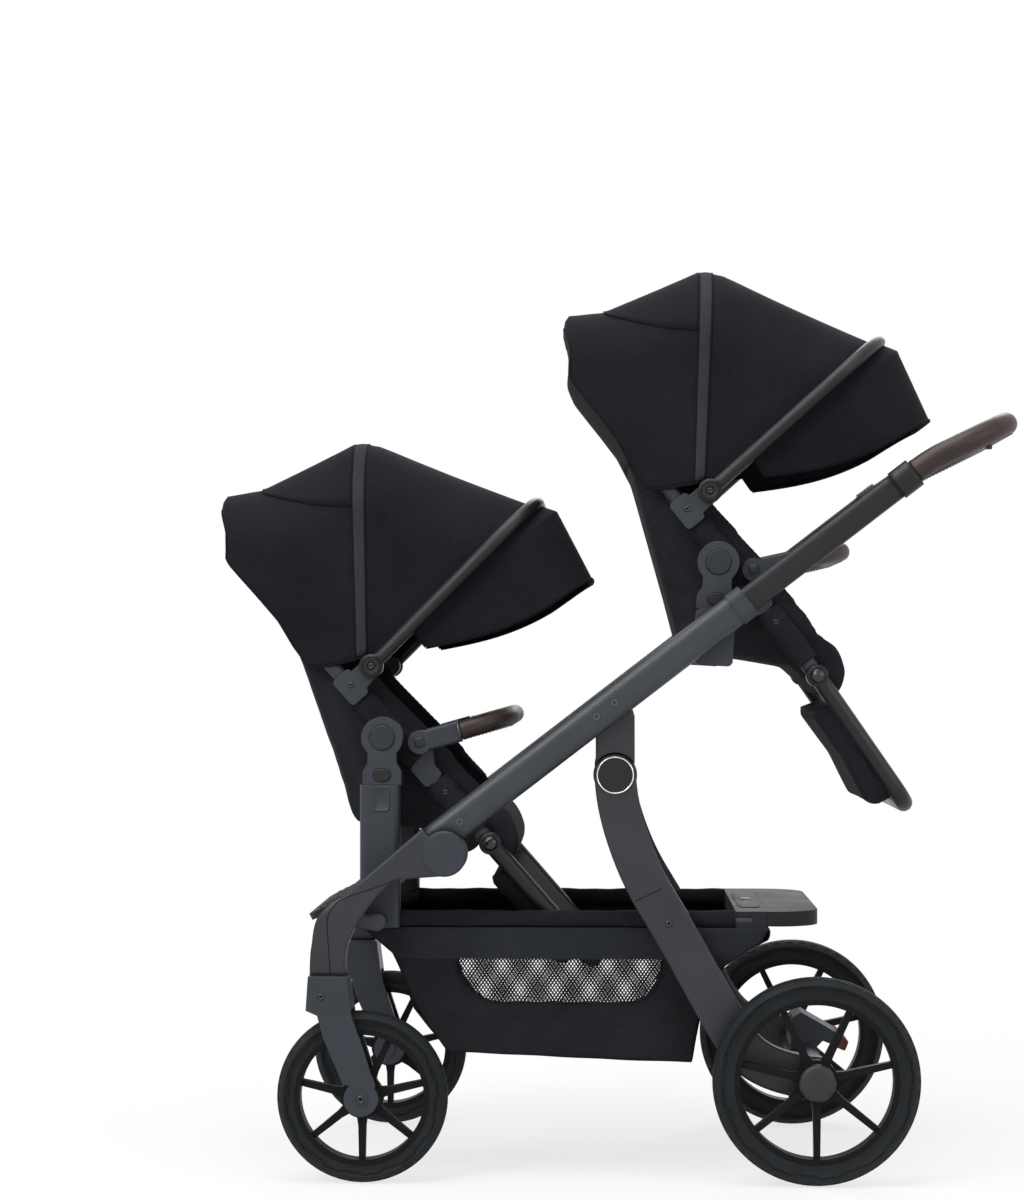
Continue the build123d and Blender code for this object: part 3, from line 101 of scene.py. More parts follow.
class Finish:
    """A material and its Principled shader, built from nodes."""

    def __init__(self, name):
        self.material = bpy.data.materials.new(name)
        self.material.use_nodes = True
        self.tree = self.material.node_tree
        self.shader = self.tree.nodes["Principled BSDF"]

    def node(self, kind, settings, *inputs, out=0, **named):
        """Add a node: its settings first, then the values or links of its sockets."""
        made = self.tree.nodes.new(kind)
        for key, value in settings.items():
            if key == "stops":
                ramp = made.color_ramp.elements
                for i, (place, colour) in enumerate(value):
                    stop = ramp[i] if i < 2 else ramp.new(place)
                    stop.position = place
                    stop.color = (*colour, 1)
            else:
                setattr(made, key, value)
        for key, value in [*enumerate(inputs), *named.items()]:
            self.put(made.inputs[key], value)
        return Value(self, made.outputs[out])

    def put(self, socket, value):
        if isinstance(value, Value):
            self.tree.links.new(value.socket, socket)
        else:
            socket.default_value = value

    def set(self, **sockets):
        for key, value in sockets.items():
            self.put(self.shader.inputs[key.replace("_", " ")], value)
        return self

    def place(self, uv=False):
        return self.node("ShaderNodeTexCoord", {}, out="UV" if uv else "Object")

    def noise(self, where, scale, detail=3.0, rough=0.5):
        settings = {"noise_dimensions": "3D"}
        return self.node("ShaderNodeTexNoise", settings, Vector=where, Scale=scale, Detail=detail, Roughness=rough)

    def cells(self, where, scale):
        return self.node("ShaderNodeTexVoronoi", {}, Vector=where, Scale=scale)

    def blend(self, share, first, second):
        """Mix two colours by a share from 0 to 1."""
        mix = self.node("ShaderNodeMix", {"data_type": "RGBA"}, out=2)
        made = mix.socket.node
        self.put(made.inputs[0], share)
        for socket, colour in ((made.inputs[6], first), (made.inputs[7], second)):
            self.put(socket, colour if isinstance(colour, Value) else (*colour, 1))
        return mix

    def spread(self, value, low, high, to_low=0.0, to_high=1.0):
        """Map a value's range from low to high onto another range."""
        return self.node("ShaderNodeMapRange", {}, value, low, high, to_low, to_high)

    def bump(self, height, strength, distance, under=None):
        """Bump from a height, over another normal where one is given."""
        made = self.node("ShaderNodeBump", {}, Strength=strength, Distance=distance, Height=height)
        if under:
            self.put(made.socket.node.inputs["Normal"], under)
        return made


studio = Finish("studio_floor")
studio.set(Base_Color=(0.82, 0.82, 0.82, 1), Roughness=0.9, Specular_IOR_Level=0.1)
rays = studio.node("ShaderNodeLightPath", {})
light_path = rays.socket.node
for kind in ("Is Glossy Ray", "Is Transmission Ray"):
    rays = rays.math("MAXIMUM", rays, Value(studio, light_path.outputs[kind]))
length = studio.node("ShaderNodeVectorMath", {"operation": "LENGTH"}, studio.place(), out=1)
fade = studio.spread(length, 0.5, 2.2, 0.74, 1.0)
glow = studio.node("ShaderNodeEmission", {}, (1, 1, 1, 1), 1.0)
floor_look = studio.node("ShaderNodeMixShader", {}, rays * fade, Value(studio, studio.shader.outputs[0]), glow)
output = studio.tree.nodes["Material Output"]
studio.tree.links.new(floor_look.socket, output.inputs["Surface"])
bpy.ops.mesh.primitive_plane_add(size=60, location=(0, 0, 0))
floor = bpy.context.object
floor.name = "studio_floor"
floor.data.materials.append(studio.material)
floor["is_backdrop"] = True

world = bpy.data.worlds.new("studio")
scene.world = world
world.use_nodes = True
sky = world.node_tree
background = sky.nodes["Background"]
rays = sky.nodes.new("ShaderNodeLightPath")
level = sky.nodes.new("ShaderNodeMix")
level.inputs[2].default_value = 0.42
level.inputs[3].default_value = 1.0
seen = rays.outputs["Is Camera Ray"]
for kind in ("Is Glossy Ray", "Is Transmission Ray"):
    either = sky.nodes.new("ShaderNodeMath")
    either.operation = "MAXIMUM"
    sky.links.new(seen, either.inputs[0])
    sky.links.new(rays.outputs[kind], either.inputs[1])
    seen = either.outputs[0]
sky.links.new(seen, level.inputs[0])
sky.links.new(level.outputs[0], background.inputs["Strength"])
background.inputs["Color"].default_value = (1, 1, 1, 1)

lamps = [
    ("lamp_above", (-0.5, -0.7, 3.5), (0.0, 0.0, 0.6), 2.2, 70),
    ("lamp_key", (-2.4, -3.2, 3.2), (0.0, 0.0, 0.6), 1.8, 95),
    ("lamp_right", (3.2, -2.4, 2.0), (0.2, 0.0, 0.6), 1.4, 26),
    ("lamp_behind", (0.6, 3.2, 2.8), (0.0, 0.0, 0.8), 2.2, 60),
]
for lamp_name, place, target, size, power in lamps:
    lamp = bpy.data.lights.new(lamp_name, "AREA")
    lamp.size = size
    lamp.energy = power
    holder = bpy.data.objects.new(lamp_name, lamp)
    holder.location = place
    holder.rotation_euler = (Vector(target) - Vector(place)).to_track_quat("-Z", "Y").to_euler()
    scene.collection.objects.link(holder)

camera_data = bpy.data.cameras.new("camera")
camera_data.lens = 88.0
camera_data.sensor_width = 36.0
camera_data.clip_end = 60
camera = bpy.data.objects.new("camera", camera_data)
camera.location = (-0.016, -4.386, 0.724)
camera.rotation_euler = Vector((-0.0324, 1.0, 0.0222)).to_track_quat("-Z", "Y").to_euler()
scene.collection.objects.link(camera)
scene.camera = camera

# Chassis tubes and castings: aluminium under a satin anthracite powder coat.
# The coat has a fine orange peel, and its tint and roughness drift a little at random.


def powder_coat(name, colour, rough=0.36, round_=None, peel_strength=0.12):
    """Fine orange-peel bump, over rounded edges where a radius is given, and a slow drift of roughness."""
    f = Finish(name)
    at = f.place()
    peel = f.noise(at, 900, 2.0)
    drift = f.noise(at, 9, 3.0)
    tint = f.blend(f.spread(drift, 0.35, 0.7), colour, tuple(c * 1.35 for c in colour))
    f.set(Base_Color=tint, Metallic=0.0, Specular_IOR_Level=0.42)
    f.set(Roughness=f.spread(drift, 0.3, 0.7, rough - 0.05, rough + 0.07))
    edge = f.node("ShaderNodeBevel", {"samples": 6}, round_) if round_ else None
    return f.set(Normal=f.bump(peel, peel_strength, 0.0004, edge)).material


def moulded(name, colour, rough=0.46, grain=1600):
    """Spark-eroded grain of a moulded part: small cells over a slow drift of shade."""
    f = Finish(name)
    at = f.place()
    cells = f.cells(at, grain)
    drift = f.noise(at, 14, 2.0)
    tint = f.blend(f.spread(drift, 0.3, 0.7), colour, tuple(c * 1.25 for c in colour))
    f.set(Base_Color=tint, Specular_IOR_Level=0.32)
    f.set(Roughness=f.spread(drift, 0.3, 0.7, rough - 0.04, rough + 0.06))
    edge = f.node("ShaderNodeBevel", {"samples": 4}, 0.0016)
    return f.set(Normal=f.bump(cells, 0.25, 0.0003, edge)).material


def wear(node_name, material):
    """Give a solid of the frame its finish."""
    data = nodes[node_name].data
    data.materials.clear()
    data.materials.append(material)


frame_coat = powder_coat("frame_coat", (0.0230, 0.0270, 0.0335), 0.34, 0.014)
casting_coat = powder_coat("casting_coat", (0.0160, 0.0180, 0.0218), 0.40, 0.008)
slide_coat = powder_coat("slide_coat", (0.0080, 0.0086, 0.0100), 0.36, 0.011, 0.03)
slide_coat.node_tree.nodes["Principled BSDF"].inputs["Specular IOR Level"].default_value = 0.3
dark_plastic = moulded("dark_plastic", (0.0225, 0.0262, 0.0335))
soft_plastic = moulded("soft_plastic", (0.0135, 0.0150, 0.0180), 0.5)
for name in ("main_rails", "side_tubes", "rear_axle_housing"):
    wear(name, frame_coat)
for name in ("leg_brackets", "front_legs", "rear_legs", "front_knuckles"):
    wear(name, casting_coat)
wear("handle_tube", slide_coat)
for name in ("rail_collars", "upper_seat_sockets", "seat_posts", "lower_adapters", "upper_adapters"):
    wear(name, dark_plastic)
for name in ("fork_left", "fork_right", "handle_button"):
    wear(name, dark_plastic)
tray_plastic = moulded("tray_plastic", (0.0105, 0.0120, 0.0140), 0.62)
tray_plastic.node_tree.nodes["Principled BSDF"].inputs["Specular IOR Level"].default_value = 0.18
for name in ("rear_tray", "front_footrest"):
    wear(name, tray_plastic)


def steel(name, colour, rough):
    """Turned steel with faint rings of roughness."""
    f = Finish(name)
    marks = f.noise(f.place(), 300, 2.0)
    f.set(Base_Color=(*colour, 1), Metallic=1.0)
    return f.set(Roughness=f.spread(marks, 0.3, 0.7, rough, rough + 0.12)).material


wear("rear_axle", steel("axle_steel", (0.42, 0.42, 0.43), 0.3))
wear("frame_screws", steel("screw_steel", (0.10, 0.10, 0.105), 0.34))

# Wheels: black moulded rims on roller hubs, and foam-filled rubber tyres.
# The tyres have a dull sidewall and a tread of shallow blocks round the crown.


def rubber(name, colour):
    """Dull rubber, with patches of dust and a fine pebble."""
    f = Finish(name)
    at = f.place()
    pebble = f.noise(at, 500, 3.0)
    dust = f.noise(at, 22, 4.0)
    tint = f.blend(f.spread(dust, 0.5, 0.75), colour, tuple(c * 1.5 for c in colour))
    f.set(Base_Color=tint, Roughness=f.spread(pebble, 0.3, 0.7, 0.60, 0.78), Specular_IOR_Level=0.2)
    return f.set(Normal=f.bump(pebble, 0.3, 0.0005)).material


def grid_object(name, points, material, close_u=False, close_v=False, caps=False):
    """Mesh from an array of rows and columns of points, in metres.

    Each point joins its neighbours in its row and in the next row. A closed direction
    joins its last line to its first, and a cap fills the first and the last row.
    """
    rows, columns = points.shape[:2]
    index = np.arange(rows * columns).reshape(rows, columns)
    if close_u:
        index = np.vstack([index, index[:1]])
    if close_v:
        index = np.hstack([index, index[:, :1]])
    quads = np.stack([index[:-1, :-1], index[1:, :-1], index[1:, 1:], index[:-1, 1:]], -1).reshape(-1, 4)
    faces = quads.tolist()
    if caps:
        faces.append(index[0, :columns].tolist())
        faces.append(index[rows - 1, :columns][::-1].tolist())
    mesh = bpy.data.meshes.new(name)
    mesh.from_pydata(points.reshape(-1, 3).tolist(), [], faces)
    u = np.concatenate([[0], np.cumsum(np.linalg.norm(np.diff(points.mean(1), axis=0), axis=1))])
    v = np.concatenate([[0], np.cumsum(np.linalg.norm(np.diff(points, axis=1), axis=2).mean(0))])
    layer = mesh.uv_layers.new(name="cloth")
    corner = np.zeros(len(mesh.loops), np.int64)
    mesh.loops.foreach_get("vertex_index", corner)
    flat = np.stack(np.meshgrid(u, v, indexing="ij"), -1).reshape(-1, 2)
    layer.data.foreach_set("uv", flat[corner].astype(np.float32).ravel())
    mesh.polygons.foreach_set("use_smooth", np.ones(len(mesh.polygons), bool))
    piece = bpy.data.objects.new(name, mesh)
    scene.collection.objects.link(piece)
    piece.data.materials.append(material)
    outward(piece)
    return piece


def outward(piece):
    """Turn every face of a closed piece to point outwards."""
    form = bmesh.new()
    form.from_mesh(piece.data)
    bmesh.ops.recalc_face_normals(form, faces=form.faces)
    form.to_mesh(piece.data)
    form.free()


def join(name, pieces):
    """One piece from several, with their own materials kept."""
    with bpy.context.temp_override(
        active_object=pieces[0], object=pieces[0], selected_editable_objects=pieces, selected_objects=pieces
    ):
        bpy.ops.object.join()
    pieces[0].name = name
    pieces[0].data.name = name
    return pieces[0]


def lathe(name, profile, centre, material, sides=96):
    """Ring about the Y axis through a centre: each (radius, y) of the profile goes round once."""
    turn = np.linspace(0, 2 * np.pi, sides, endpoint=False)[:, None]
    radius, across = np.array(profile, float).T
    x = centre[0] + radius * np.cos(turn)
    z = centre[2] + radius * np.sin(turn)
    y = np.broadcast_to(centre[1] + across, x.shape)
    return grid_object(name, np.stack([x, y, z], -1) / 1000, material, close_u=True, close_v=True)


def tread(name, radius, width, centre, material, count=44):
    """Shallow blocks round the crown: each is a small box with its middle raised to the crown's radius."""
    turn = np.arange(count) * 2 * np.pi / count
    step = 2 * np.pi / count
    blocks = []
    for side in (-1, 1):
        along = np.array([-0.30, 0.30, 0.30, -0.30]) * step
        across = np.array([0.06, 0.06, 0.30, 0.30]) * width * side
        skew = np.array([0.0, 0.0, 0.22, 0.22]) * step
        a = turn[:, None] + along + skew + (0.5 * step if side > 0 else 0)
        outer = radius - 0.06 * np.abs(across / width * 2) ** 2 * width
        for lift in (0.2, -2.2):
            r = outer + lift
            ring = np.stack([centre[0] + r * np.cos(a), np.broadcast_to(centre[1] + across, a.shape), centre[2] + r * np.sin(a)], -1)
            blocks.append(ring)
    points = np.concatenate([np.concatenate([blocks[0], blocks[1]], 1), np.concatenate([blocks[2], blocks[3]], 1)])
    count = len(points)
    base = (np.arange(count) * 8)[:, None, None]
    sides = np.array([[0, 1, 2, 3], [7, 6, 5, 4], [0, 4, 5, 1], [1, 5, 6, 2], [2, 6, 7, 3], [3, 7, 4, 0]])
    mesh = bpy.data.meshes.new(name)
    mesh.from_pydata((points.reshape(-1, 3) / 1000).tolist(), [], (base + sides).reshape(-1, 4).tolist())
    piece = bpy.data.objects.new(name, mesh)
    scene.collection.objects.link(piece)
    piece.data.materials.append(material)
    outward(piece)
    return piece


def wave_groove(name, radius, width, seat, centre, sign, material):
    """Thin wavy line moulded into a sidewall: its radius is a sine of the angle, and its y follows the wall's arc."""
    turn = np.linspace(0, 2 * np.pi, 432, endpoint=False)
    wave = np.tanh(2.2 * np.sin(12 * turn)) + 0.4 * np.sin(36 * turn)
    r = radius - 15.5 + 1.5 * wave
    start, end = np.array([seat, 15.0]), np.array([radius - 10, width / 2])
    arc = radius - seat
    chord = end - start
    half = np.linalg.norm(chord) / 2
    inward = np.array([chord[1], -chord[0]]) / (2 * half)
    middle = (start + end) / 2 + inward * np.sqrt(arc**2 - half**2)
    y = middle[1] + np.sqrt(arc**2 - (r - middle[0]) ** 2)
    ring = np.linspace(0, 2 * np.pi, 6, endpoint=False)
    rr = r[:, None] + 0.75 * np.cos(ring)
    x = centre[0] + rr * np.cos(turn[:, None])
    z = centre[2] + rr * np.sin(turn[:, None])
    yy = centre[1] + sign * (y[:, None] + 0.55 * np.sin(ring))
    return grid_object(name, np.stack([x, yy, z], -1) / 1000, material, close_u=True, close_v=True)


tyre_rubber = rubber("tyre_rubber", (0.0092, 0.0112, 0.0130))
# The darker groove rubber is painted shade: it stands in for the shade in the hollow of each sidewall groove and of
# each seam on the legs.
painted_groove_shade = rubber("painted_groove_shade", (0.0030, 0.0032, 0.0036))
rim_plastic = moulded("rim_plastic", (0.0030, 0.0033, 0.0038), 0.5, 1200)
rim_plastic.node_tree.nodes["Principled BSDF"].inputs["Specular IOR Level"].default_value = 0.14
hub_cap_plastic = moulded("hub_cap_plastic", (0.020, 0.0205, 0.022), 0.38, 2400)
wheels = []
for side, sign in (("left", -1), ("right", 1)):
    wheels.append((f"rear_wheel_{side}", f"rear_tyre_{side}", f"rear_rim_{side}", (275, sign * 278, 145), 145, 44, 24, 27, sign))
    wheels.append((f"front_wheel_{side}", f"front_tyre_{side}", f"front_rim_{side}", (-359, sign * 268, 120), 120, 38, 0, 0, sign))
for body, tyre, rim, centre, radius, width, hub_end, hub_radius, sign in wheels:
    wear(tyre, tyre_rubber)
    wear(rim, rim_plastic)
    blocks = tread(f"{tyre}_tread", radius - 1.2, width, centre, tyre_rubber)
    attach(blocks, body)
    seat_radius = 115 if hub_end else 95
    for face in (-1, 1):
        groove = wave_groove(f"{tyre}_groove_{face}", radius, width, seat_radius, centre, face, painted_groove_shade)
        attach(groove, body)
    if hub_end:
        y = sign * hub_end
        cap = [(0.5, y + sign * 6.6), (1.2, y + sign * 6.6), (9, y + sign * 6.5), (17, y + sign * 6.3), (22, y + sign * 5.4), (24.8, y + sign * 3.4), (25.6, y + sign * 0.4), (25.6, y - sign * 3), (0.5, y - sign * 3)]
        piece = lathe(f"{rim}_cap", cap, centre, hub_cap_plastic, 48)
        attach(piece, body)

# Pivot caps: round plastic covers on the rear pivots, black in a thin bright ring.
chrome = steel("bright_ring", (0.78, 0.78, 0.80), 0.12)
gloss_black = moulded("gloss_black", (0.008, 0.008, 0.009), 0.16, 3000)
wear("pivot_caps", gloss_black)
for side, sign in (("near", -1), ("far", 1)):
    y = sign * 2.6
    ring = lathe(f"pivot_ring_{side}", [(24.4, -0.6), (24.4, y * 0.35), (25.3, y * 0.55), (26.4, y * 0.3), (26.4, -0.6)], (-4.6, sign * 248, 569), chrome, 72)
    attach(ring, "rear_legs")

# Brake: a moulded pedal with a brown-red tip that shows the foot where to press.
wear("brake_pedal", dark_plastic)
tip_outline = np.array([(315, 185.5), (326, 182.5), (338.5, 170), (338, 167), (334, 157.5), (331.5, 157), (322, 161)])
tip_width = np.array([-43.9, -43.1, 43.1, 43.9])
tip_centre = tip_outline.mean(0)
tip_size = np.array([0.94, 1.0, 1.0, 0.94])
tip = tip_centre + (tip_outline - tip_centre)[None] * tip_size[:, None, None]
tip = np.stack([tip[..., 0], np.broadcast_to(tip_width[:, None], tip.shape[:2]), tip[..., 1]], -1)
tip_piece = grid_object("brake_pedal_tip_pad", tip / 1000, rubber("tip_rubber", (0.085, 0.028, 0.025)), close_v=True, caps=True)
tip_piece.data.polygons.foreach_set("use_smooth", np.zeros(len(tip_piece.data.polygons), bool))
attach(tip_piece, "brake_pedal")

# Handle grip: one piece of dark brown leather wrapped round the bar and sewn along
# the inside of the bend, with a rolled edge at each end.


def leather(name, colour):
    """Creased grain: cell edges for the pebble, a slow drift for the dye."""
    f = Finish(name)
    at = f.place()
    grain = f.cells(at, 620)
    dye = f.noise(at, 35, 4.0)
    tint = f.blend(f.spread(dye, 0.35, 0.7), tuple(c * 0.6 for c in colour), tuple(c * 1.25 for c in colour))
    f.set(Base_Color=tint, Specular_IOR_Level=0.35, Roughness=f.spread(dye, 0.3, 0.7, 0.40, 0.55))
    return f.set(Normal=f.bump(grain, 0.22, 0.0005)).material


def rounded(points, radii, step):
    """Points a step apart along a polyline whose corners are arcs of the given radii."""
    points = [np.array(p, float) for p in points]
    line = [points[0]]
    for before, corner, after, radius in zip(points, points[1:], points[2:], radii):
        a = (before - corner) / np.linalg.norm(before - corner)
        b = (after - corner) / np.linalg.norm(after - corner)
        half = np.arccos(np.clip(a @ b, -1, 1)) / 2
        middle = corner + (a + b) / np.linalg.norm(a + b) * radius / np.sin(half)
        start = corner + a * radius / np.tan(half) - middle
        end = corner + b * radius / np.tan(half) - middle
        t = np.linspace(0, 1, 24)[:, None]
        span = np.pi - 2 * half
        line.extend(middle + (np.sin((1 - t) * span) * start + np.sin(t * span) * end) / np.sin(span))
    line.append(points[-1])
    line = np.array(line)
    length = np.concatenate([[0], np.cumsum(np.linalg.norm(np.diff(line, axis=0), axis=1))])
    at = np.linspace(0, length[-1], max(int(length[-1] / step), 2))
    return np.stack([np.interp(at, length, line[:, i]) for i in range(3)], -1)


def pipe(name, path, radius, flat, material, sides=20, caps=True):
    """Tube along a path in one plane: circles square to the path, with their first axis on the plane's normal."""
    along = np.gradient(path, axis=0)
    along /= np.linalg.norm(along, axis=1)[:, None]
    flat = np.broadcast_to(np.array(flat, float) / np.linalg.norm(flat), path.shape)
    side = np.cross(along, flat)
    side /= np.linalg.norm(side, axis=1)[:, None]
    turn = np.linspace(0, 2 * np.pi, sides, endpoint=False)
    radius = np.broadcast_to(np.asarray(radius, float), (len(path),))[:, None, None]
    ring = np.cos(turn)[None, :, None] * flat[:, None] + np.sin(turn)[None, :, None] * side[:, None]
    return grid_object(name, (path[:, None] + radius * ring) / 1000, material, close_v=True, caps=caps)


def stitches(name, path, offset, radius, flat, material, pitch=6.0, length=4.0):
    """A row of short thread bumps: six-sided beads along the path, moved out by an offset direction."""
    along = np.gradient(path, axis=0)
    along /= np.linalg.norm(along, axis=1)[:, None]
    gone = np.concatenate([[0], np.cumsum(np.linalg.norm(np.diff(path, axis=0), axis=1))])
    at = np.arange(pitch, gone[-1] - pitch, pitch)
    centre = np.stack([np.interp(at, gone, path[:, i]) for i in range(3)], -1)
    ahead = np.stack([np.interp(at, gone, along[:, i]) for i in range(3)], -1)
    flat = np.broadcast_to(np.array(flat, float) / np.linalg.norm(flat), centre.shape)
    side = np.cross(ahead, flat)
    out = offset[0] * flat + offset[1] * side
    turn = np.arange(6) * np.pi / 3
    ring = np.cos(turn)[None, :, None] * flat[:, None] + np.sin(turn)[None, :, None] * side[:, None]
    rows = []
    for share, thick in ((-0.5, 0.25), (-0.3, 1.0), (0.3, 1.0), (0.5, 0.25)):
        rows.append((centre + out + ahead * share * length)[:, None] + ring * radius * thick)
    points = np.stack(rows, 1)
    count = len(points)
    index = np.arange(count * 24).reshape(count, 4, 6)
    index = np.concatenate([index, index[:, :, :1]], 2)
    quads = np.stack([index[:, :-1, :-1], index[:, 1:, :-1], index[:, 1:, 1:], index[:, :-1, 1:]], -1).reshape(-1, 4)
    ends = np.concatenate([index[:, 0, :6], index[:, 3, 5::-1]])
    mesh = bpy.data.meshes.new(name)
    mesh.from_pydata((points.reshape(-1, 3) / 1000).tolist(), [], quads.tolist() + ends.tolist())
    piece = bpy.data.objects.new(name, mesh)
    scene.collection.objects.link(piece)
    piece.data.materials.append(material)
    outward(piece)
    return piece


handle_leather = leather("handle_leather", (0.030, 0.017, 0.0135))
thread = moulded("grip_thread", (0.022, 0.016, 0.014), 0.6, 3000)
rail = np.array([math.cos(math.radians(37.5)), math.sin(math.radians(37.5))])
rail_foot = np.array([-244 - 22.5 * rail[1], 460 + 22.5 * rail[0]])
grip_start = rail_foot + 847.9 * rail
grip_bend = rail_foot + 877.9 * rail
handle_route = [
    (grip_start[0], -262, grip_start[1]),
    (grip_bend[0], -262, grip_bend[1]),
    (553, -262, 1068),
    (553, 262, 1068),
    (grip_bend[0], 262, grip_bend[1]),
    (grip_start[0], 262, grip_start[1]),
]


def grip_sleeve(name, path, radius, edge, material, sides=28):
    """Leather round a bar: the radius swells at each end where the edge is turned under."""
    gone = np.concatenate([[0], np.cumsum(np.linalg.norm(np.diff(path, axis=0), axis=1))])
    rim = np.minimum(gone, gone[-1] - gone)
    swell = edge * np.exp(-(((rim - 4) / 2.2) ** 2)) - 1.2 * np.exp(-((rim / 1.5) ** 2))
    return radius + swell


handle_path = rounded(handle_route, [250, 85, 85, 250], 3)
ahead = np.gradient(handle_path, axis=0)
up = np.array([-0.58, 0, 0.81])


def bar(name, path, radius, up, material, sides=28):
    """Tube along a path that turns in more than one plane: circles square to the path, upright by one direction."""
    along = np.gradient(path, axis=0)
    along /= np.linalg.norm(along, axis=1)[:, None]
    side = np.cross(along, np.broadcast_to(np.array(up, float), path.shape))
    side /= np.linalg.norm(side, axis=1)[:, None]
    high = np.cross(side, along)
    turn = np.linspace(0, 2 * np.pi, sides, endpoint=False)
    radius = np.broadcast_to(np.asarray(radius, float), (len(path),))[:, None, None]
    ring = np.cos(turn)[None, :, None] * high[:, None] + np.sin(turn)[None, :, None] * side[:, None]
    return grid_object(name, (path[:, None] + radius * ring) / 1000, material, close_v=True, caps=True)


grip = bar("handle_leather_grip", handle_path, grip_sleeve("", handle_path, 16.6, 0.8, None), up, handle_leather)
seam = stitches("handle_grip_seam", handle_path, (-16.7, 0), 0.7, up, thread)
for piece in (grip, seam):
    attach(piece, "handle")
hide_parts("handle_grip")

# Seat units: two alike, each drawn about its hub and set on the frame.
# Everything below is made once for each seat, in the seat's own side view.
seats = {
    "lower": {"hub": (-335.5, 621.0), "tilt": 0.0, "drop": 0.0},
    "upper": {"hub": (142.0, 870.0), "tilt": -3.5, "drop": -3.0},
}
canopy_hinge = np.array([-17.3, 101.6])
bow_way = np.array([math.cos(math.radians(45.3)), math.sin(math.radians(45.3))])
leg_hinge = np.array([152.0, -152.0])


def turned(points, centre, degrees):
    """Points turned in side view about a centre."""
    c, s = math.cos(math.radians(degrees)), math.sin(math.radians(degrees))
    x, z = points[..., 0] - centre[0], points[..., 2] - centre[1]
    return np.stack([centre[0] + c * x - s * z, points[..., 1], centre[1] + s * x + c * z], -1)


def seated(level, points, leg=False):
    """Points of a seat's own frame, in millimetres, moved to where that seat stands."""
    place = seats[level]
    points = np.asarray(points, float)
    if leg:
        points = turned(points, leg_hinge, place["drop"])
    points = turned(points, (0, 0), place["tilt"])
    return points + np.array([place["hub"][0], 0, place["hub"][1]])


for level in seats:
    wear(f"{level}_seat_frame", dark_plastic)
    wear(f"{level}_canopy_bow", slide_coat)
    wear(f"{level}_bumper_bar", dark_plastic)
    wear(f"{level}_leg_rest", slide_coat)
    for side in ("left", "right"):
        wear(f"{level}_hub_button_{side}", soft_plastic)
        wear(f"{level}_release_button_{side}", gloss_black)

# Canopies: black cloth over two hidden hoops and the front bow, with a strip sewn over
# the middle hoop, a vent flap on the crown behind it, and bound edges.


def cloth(name, colour, pitch=0.0011, uv=True, crease=0.5):
    """Plain weave: two crossed rows of threads, slow creases, and a soft sheen."""
    f = Finish(name)
    at = f.place(uv)
    axes = f.node("ShaderNodeSeparateXYZ", {}, at)
    first = Value(f, axes.socket.node.outputs[0])
    second = Value(f, axes.socket.node.outputs[1 if uv else 2])
    turn = 2 * math.pi / pitch
    warp = f.node("ShaderNodeMath", {"operation": "SINE"}, first * turn)
    weft = f.node("ShaderNodeMath", {"operation": "SINE"}, second * turn)
    solid = f.place()
    creases = f.noise(solid, 7, 4.0, 0.55)
    fuzz = f.noise(solid, 240, 3.0)
    height = warp * weft * 0.12 + fuzz * 0.3 + creases * (6.0 * crease)
    shade = f.spread(fuzz * 0.5 + creases * 0.5, 0.38, 0.62)
    tint = f.blend(shade, tuple(c * 0.85 for c in colour), tuple(c * 1.25 for c in colour))
    f.set(Base_Color=tint, Roughness=f.spread(fuzz, 0.3, 0.7, 0.84, 0.95), Specular_IOR_Level=0.07)
    f.set(Sheen_Weight=0.015, Sheen_Roughness=0.4)
    return f.set(Normal=f.bump(height, 0.5, 0.0012)).material


canopy_cloth = cloth("canopy_cloth", (0.0104, 0.0108, 0.0136))
strip_cloth = cloth("strip_cloth", (0.0290, 0.0302, 0.0355), 0.0016)
binding_cloth = cloth("binding_cloth", (0.0075, 0.0078, 0.0095), 0.0016)

# where the cloth is from the rear edge to the bow: share, foot x, foot z, crown x, crown z, corner radius
hoops = np.array([
    [0.00, -112.5, 106, -238, 326, 60],
    [0.03, -110, 103, -237, 337, 70],
    [0.08, -107, 101, -233, 346, 80],
    [0.20, -93, 100, -205, 352, 92],
    [0.28, -82, 101, -178, 357, 96],
    [0.50, -41, 111, -50, 421, 104],
    [0.56, -24, 116, -29, 422, 105],
    [0.59, -22, 116.2, -14, 420, 105],
    [0.63, -20, 116.3, 4, 413.5, 104],
    [1.00, -1.8, 117.2, 210.4, 331.7, 96],
])


